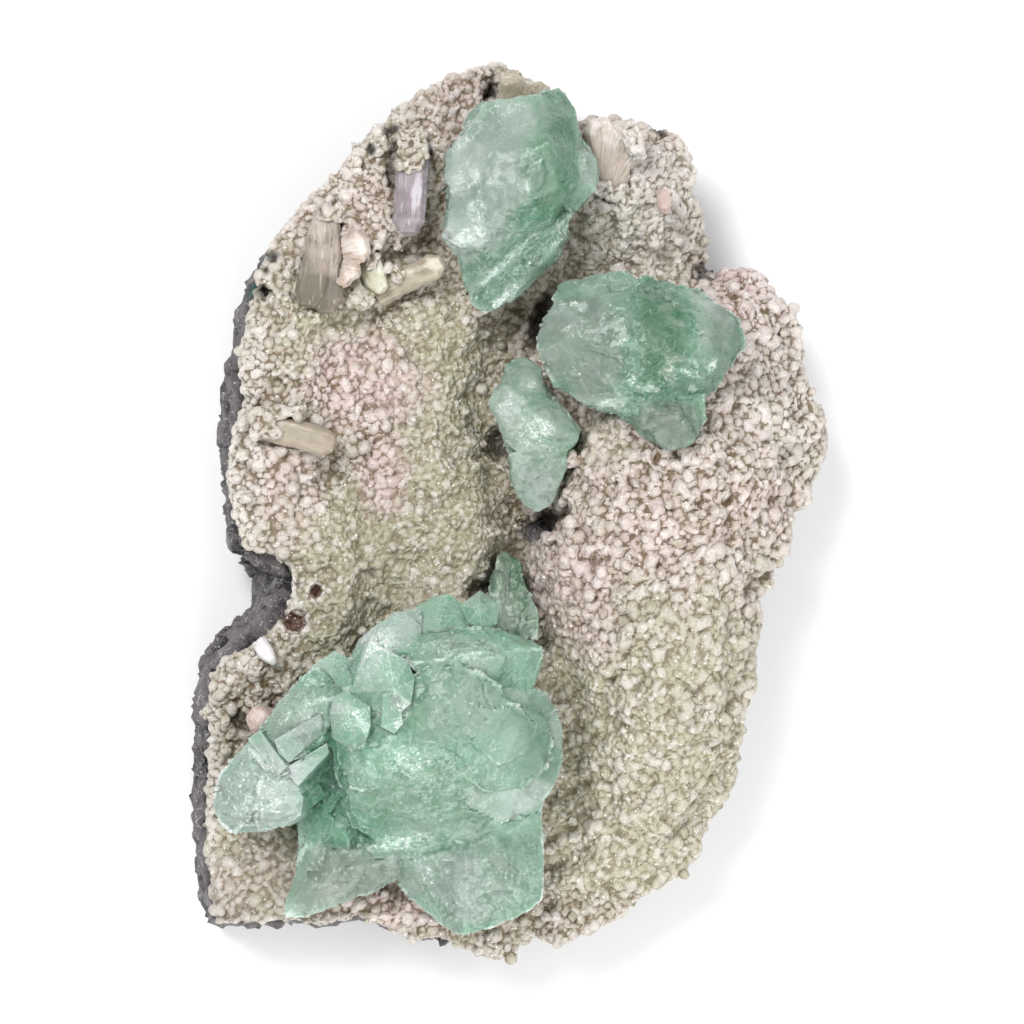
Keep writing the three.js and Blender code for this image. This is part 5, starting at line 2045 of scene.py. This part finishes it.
class Hue(Enum):
    """The stilbites' finishes: the slot in the record, the body, the pale tips and the dark parts."""

    BEIGE = ("stilbite", (0.42, 0.37, 0.29), (0.60, 0.55, 0.48), (0.24, 0.21, 0.15))
    DULL = ("stilbite", (0.36, 0.31, 0.24), (0.52, 0.46, 0.39), (0.27, 0.23, 0.17))
    SHEAF = ("stilbite", (0.50, 0.43, 0.37), (0.66, 0.60, 0.59), (0.30, 0.25, 0.19))
    DRAPE = ("stilbite", (0.33, 0.275, 0.235), (0.48, 0.42, 0.37), (0.115, 0.105, 0.070))
    LEAF = ("stilbite", (0.50, 0.49, 0.38), (0.66, 0.65, 0.56), (0.30, 0.28, 0.18))
    LAVENDER = ("lavender_stilbite", (0.30, 0.26, 0.28), (0.60, 0.57, 0.62), (0.17, 0.14, 0.14))
    PINK = ("pink_stilbite", (0.55, 0.42, 0.38), (0.68, 0.60, 0.56), (0.38, 0.28, 0.24))
    CREAM = ("stilbite", (0.55, 0.465, 0.405), (0.70, 0.65, 0.61), (0.36, 0.28, 0.22))
    WHITE = ("stilbite", (0.66, 0.62, 0.62), (0.76, 0.74, 0.74), (0.50, 0.46, 0.46))

    @property
    def slot(self) -> str:
        """The record's slot."""
        return self.value[0]

    def make(self) -> Material:
        """Builds the finish."""
        return StilbiteFinish(f"{self.name.lower()}_stilbite", *self.value[1:]).make()


@dataclass
class Blade:
    """One stilbite crystal or sheaf."""

    node: str
    hue: Hue
    root: Place
    tip: Place
    ridge: float = 0.1 * MM
    uneven: float = 0.35 * MM
    grow: float = 0.0
    fan: float = 0.0
    voxel: float = 0.26 * MM
    edge_relief: float = 0.16 * MM
    soften: int = 5
    seed: int = 2
    pale: Patches = ()
    dim: Patches = ()

    def along(self, points: Array) -> Array:
        """Places points in a space that is short along the blade's fibres.

        Args:
            points: Rows of x, y and z.

        Returns:
            Rows of three, in metres.
        """
        axis = unit(np.array(self.tip) - np.array(self.root))
        away = points - np.array(self.root)
        if self.fan:
            return unit(away) * self.fan + away * 0.06
        return away - axis * (away @ axis * 0.9)[:, None]

    def build(self, materials: dict[Hue, Material]) -> Piece:
        """Makes the blade."""
        piece = copy_of(self.node, self.node + "_grown")
        remesh(piece, self.voxel)
        # The blade's ridges get a painted edge highlight.
        crease = np.clip(relief_of(piece, 6) / self.edge_relief, 0, 1)
        apply_modifier(piece, "SMOOTH", factor=0.5, iterations=self.soften)
        points, normals = points_of(piece), normals_of(piece)
        noise = SoftNoise(self.seed)
        uneven = noise.layered(self.along(points), 0.9 * MM, 3) * self.ridge
        uneven += noise.layered(points, 3.5 * MM, 3) * self.uneven + self.grow
        points = points + normals * uneven[:, None]
        move_points(piece, points)
        wobble = noise.layered(points, 3 * MM, 2) * 0.3
        paint(
            piece,
            fibre=self.along(points),
            crease=crease,
            pale=share_of(self.pale, points, wobble),
            dim=share_of(self.dim, points, wobble),
        )
        shade(piece)
        return settle(piece, self.hue.slot, materials[self.hue], self.node)


BLADES = (
    Blade(
        "stilbite_lavender_blade", Hue.LAVENDER, drawn(-19.4, 74, 36.6), drawn(-20.6, 55.6, 43.5),
        uneven=0.2 * MM,
        # The first pale patch is a painted glint streak along the blade.
        pale=ovals((417, 192, 5, 20, 0.9, -8), (426, 200, 3, 36, 0.5), (398, 176, 6, 16, 0.4)),
        dim=ovals((400, 206, 8, 20, 0.5), (410, 228, 14, 6, 0.5)),
    ),
    Blade(
        "stilbite_drape_blade", Hue.DRAPE, drawn(-37, 60, 37), drawn(-38.8, 40.6, 40),
        ridge=0.06 * MM,
        pale=ovals((318, 228, 12, 18, 0.7), (334, 262, 6, 20, 0.5)),
        dim=ovals((314, 296, 24, 26), (306, 262, 5, 14, 0.4)),
    ),
    Blade(
        "stilbite_pink_fan", Hue.CREAM, drawn(-37.4, 51, 35.6), drawn(-30, 50, 41.4),
        ridge=0.3 * MM,
        fan=10 * MM,
        pale=ovals((362, 246, 18, 8), (352, 272, 8, 12, 0.5)),
        dim=ovals((340, 280, 5, 12, 0.6), (338, 256, 4, 10, 0.4)),
    ),
    Blade(
        "stilbite_upper_leaf", Hue.LEAF, drawn(-30, 52, 34), drawn(-25.6, 44.4, 39),
        uneven=0.5 * MM,
        pale=ovals((386, 264, 10, 12), (380, 284, 6, 8, 0.6)),
    ),
    Blade(
        "stilbite_lower_leaf", Hue.LEAF, drawn(-28.6, 49, 34), drawn(-30.4, 41, 38.6),
        uneven=0.5 * MM,
        pale=ovals((366, 280, 6, 12, 0.7)),
    ),
    Blade(
        "stilbite_tan_blade", Hue.BEIGE, drawn(-27, 44.2, 33), drawn(-13.8, 50.2, 39),
        pale=ovals((434, 264, 14, 7, 1, 20), (410, 272, 24, 3, 0.6, 15)),
        dim=ovals((400, 290, 24, 6, 0.35, 10)),
    ),
    Blade(
        "stilbite_top_knob", Hue.BEIGE, drawn(1.6, 80, 32), drawn(2.6, 86, 39.6),
        dim=ovals((520, 88, 26, 10, 0.55)),
        pale=ovals((506, 76, 8, 5, 0.6), (540, 84, 10, 6, 0.5)),
    ),
    Blade(
        "stilbite_right_sheaf", Hue.SHEAF, drawn(17.6, 61, 32), drawn(20, 80, 40),
        ridge=0.34 * MM,
        fan=16 * MM,
        pale=ovals((590, 124, 14, 12), (612, 128, 12, 24, 0.8), (632, 150, 8, 24, 0.7)),
        dim=ovals((602, 188, 14, 12, 0.6)),
    ),
    Blade(
        "stilbite_rim_blade", Hue.DULL, drawn(-50, 17.4, 38), drawn(-35.4, 13.4, 39.8),
        ridge=0.06 * MM,
        soften=8,
        pale=ovals((276, 424, 10, 8, 0.8), (300, 428, 26, 3, 0.4, -18)),
    ),
    Blade(
        "stilbite_pink_knob", Hue.PINK, drawn(-46, -44.6, 33), drawn(-51, -41, 40.4),
        grow=0.9 * MM,
        pale=ovals((258, 716, 10, 8, 0.8)),
    ),
    Blade("stilbite_pink_prism", Hue.PINK, drawn(30.4, 64.2, 34), drawn(30.6, 60.4, 40.6)),
    Blade(
        "stilbite_white_knob", Hue.WHITE, drawn(-50.4, -26.4, 36), drawn(-47.6, -29.8, 42),
        pale=ovals((268, 652, 16, 16)),
    ),
)


# ---- The studio ----


@dataclass
class Studio:
    """The camera, the pale floor and the soft lights, each with its name, place, width and power."""

    lights: tuple[tuple[str, Place, float, float], ...] = (
        ("key", (-0.35, 0.45, 1.05), 0.45, 11.6),
        ("fill", (0.6, -0.2, 0.9), 0.9, 5.6),
        ("low_front", (0.1, -0.9, 0.55), 0.5, 5.6),
    )
    aim: Place = (0, 0, 0.03)
    floor_size: float = 6.0
    floor_gap: float = 0.1 * MM
    far: float = 20
    sky: float = 0.48
    floor_white: Colour = (0.88, 0.88, 0.88)

    def light(self, name: str, place: Place, size: float, power: float) -> None:
        """Adds a square soft light that points at the part."""
        bpy.ops.object.light_add(type="AREA", location=place)
        lamp = bpy.context.active_object
        lamp.name = name
        lamp.data.size = size
        lamp.data.energy = power
        aim = Vector(self.aim) - Vector(place)
        lamp.rotation_euler = aim.to_track_quat("-Z", "Y").to_euler()

    def floor(self) -> None:
        """Adds the pale floor."""
        bpy.ops.mesh.primitive_plane_add(size=self.floor_size, location=(0, 0, -self.floor_gap))
        floor = bpy.context.active_object
        floor.name = "floor"
        bench = Bench("floor")
        surface = bench.principled(Base_Color=self.floor_white, Roughness=0.95)
        floor.data.materials.append(bench.finish(surface))

    def build(self) -> None:
        """Sets up the studio."""
        scene = bpy.context.scene
        camera = placed("camera", bpy.data.cameras.new("camera"))
        camera.data.lens = LENS
        camera.data.sensor_width = SENSOR
        camera.data.clip_end = self.far
        camera.location = EYE
        scene.camera = camera
        scene.view_settings.view_transform = "Standard"
        for row in self.lights:
            self.light(*row)
        world = bpy.data.worlds.new("studio")
        scene.world = world
        world.use_nodes = True
        world.node_tree.nodes["Background"].inputs[0].default_value = (1, 1, 1, 1)
        world.node_tree.nodes["Background"].inputs[1].default_value = self.sky
        self.floor()


def main() -> None:
    """Builds every piece and the studio."""
    logging.basicConfig(level=logging.INFO, format="%(message)s")
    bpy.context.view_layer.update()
    BasaltSlab().build()
    Druse(crystals=tuple(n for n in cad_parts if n.startswith(("apophyllite", "stilbite")))).build()
    green = ApophylliteFinish().make()
    for spray in SPRAYS:
        spray.build(green)
    pearly = {hue: hue.make() for hue in Hue}
    for blade in BLADES:
        blade.build(pearly)
    Studio().build()


if __name__ == "__main__":
    main()
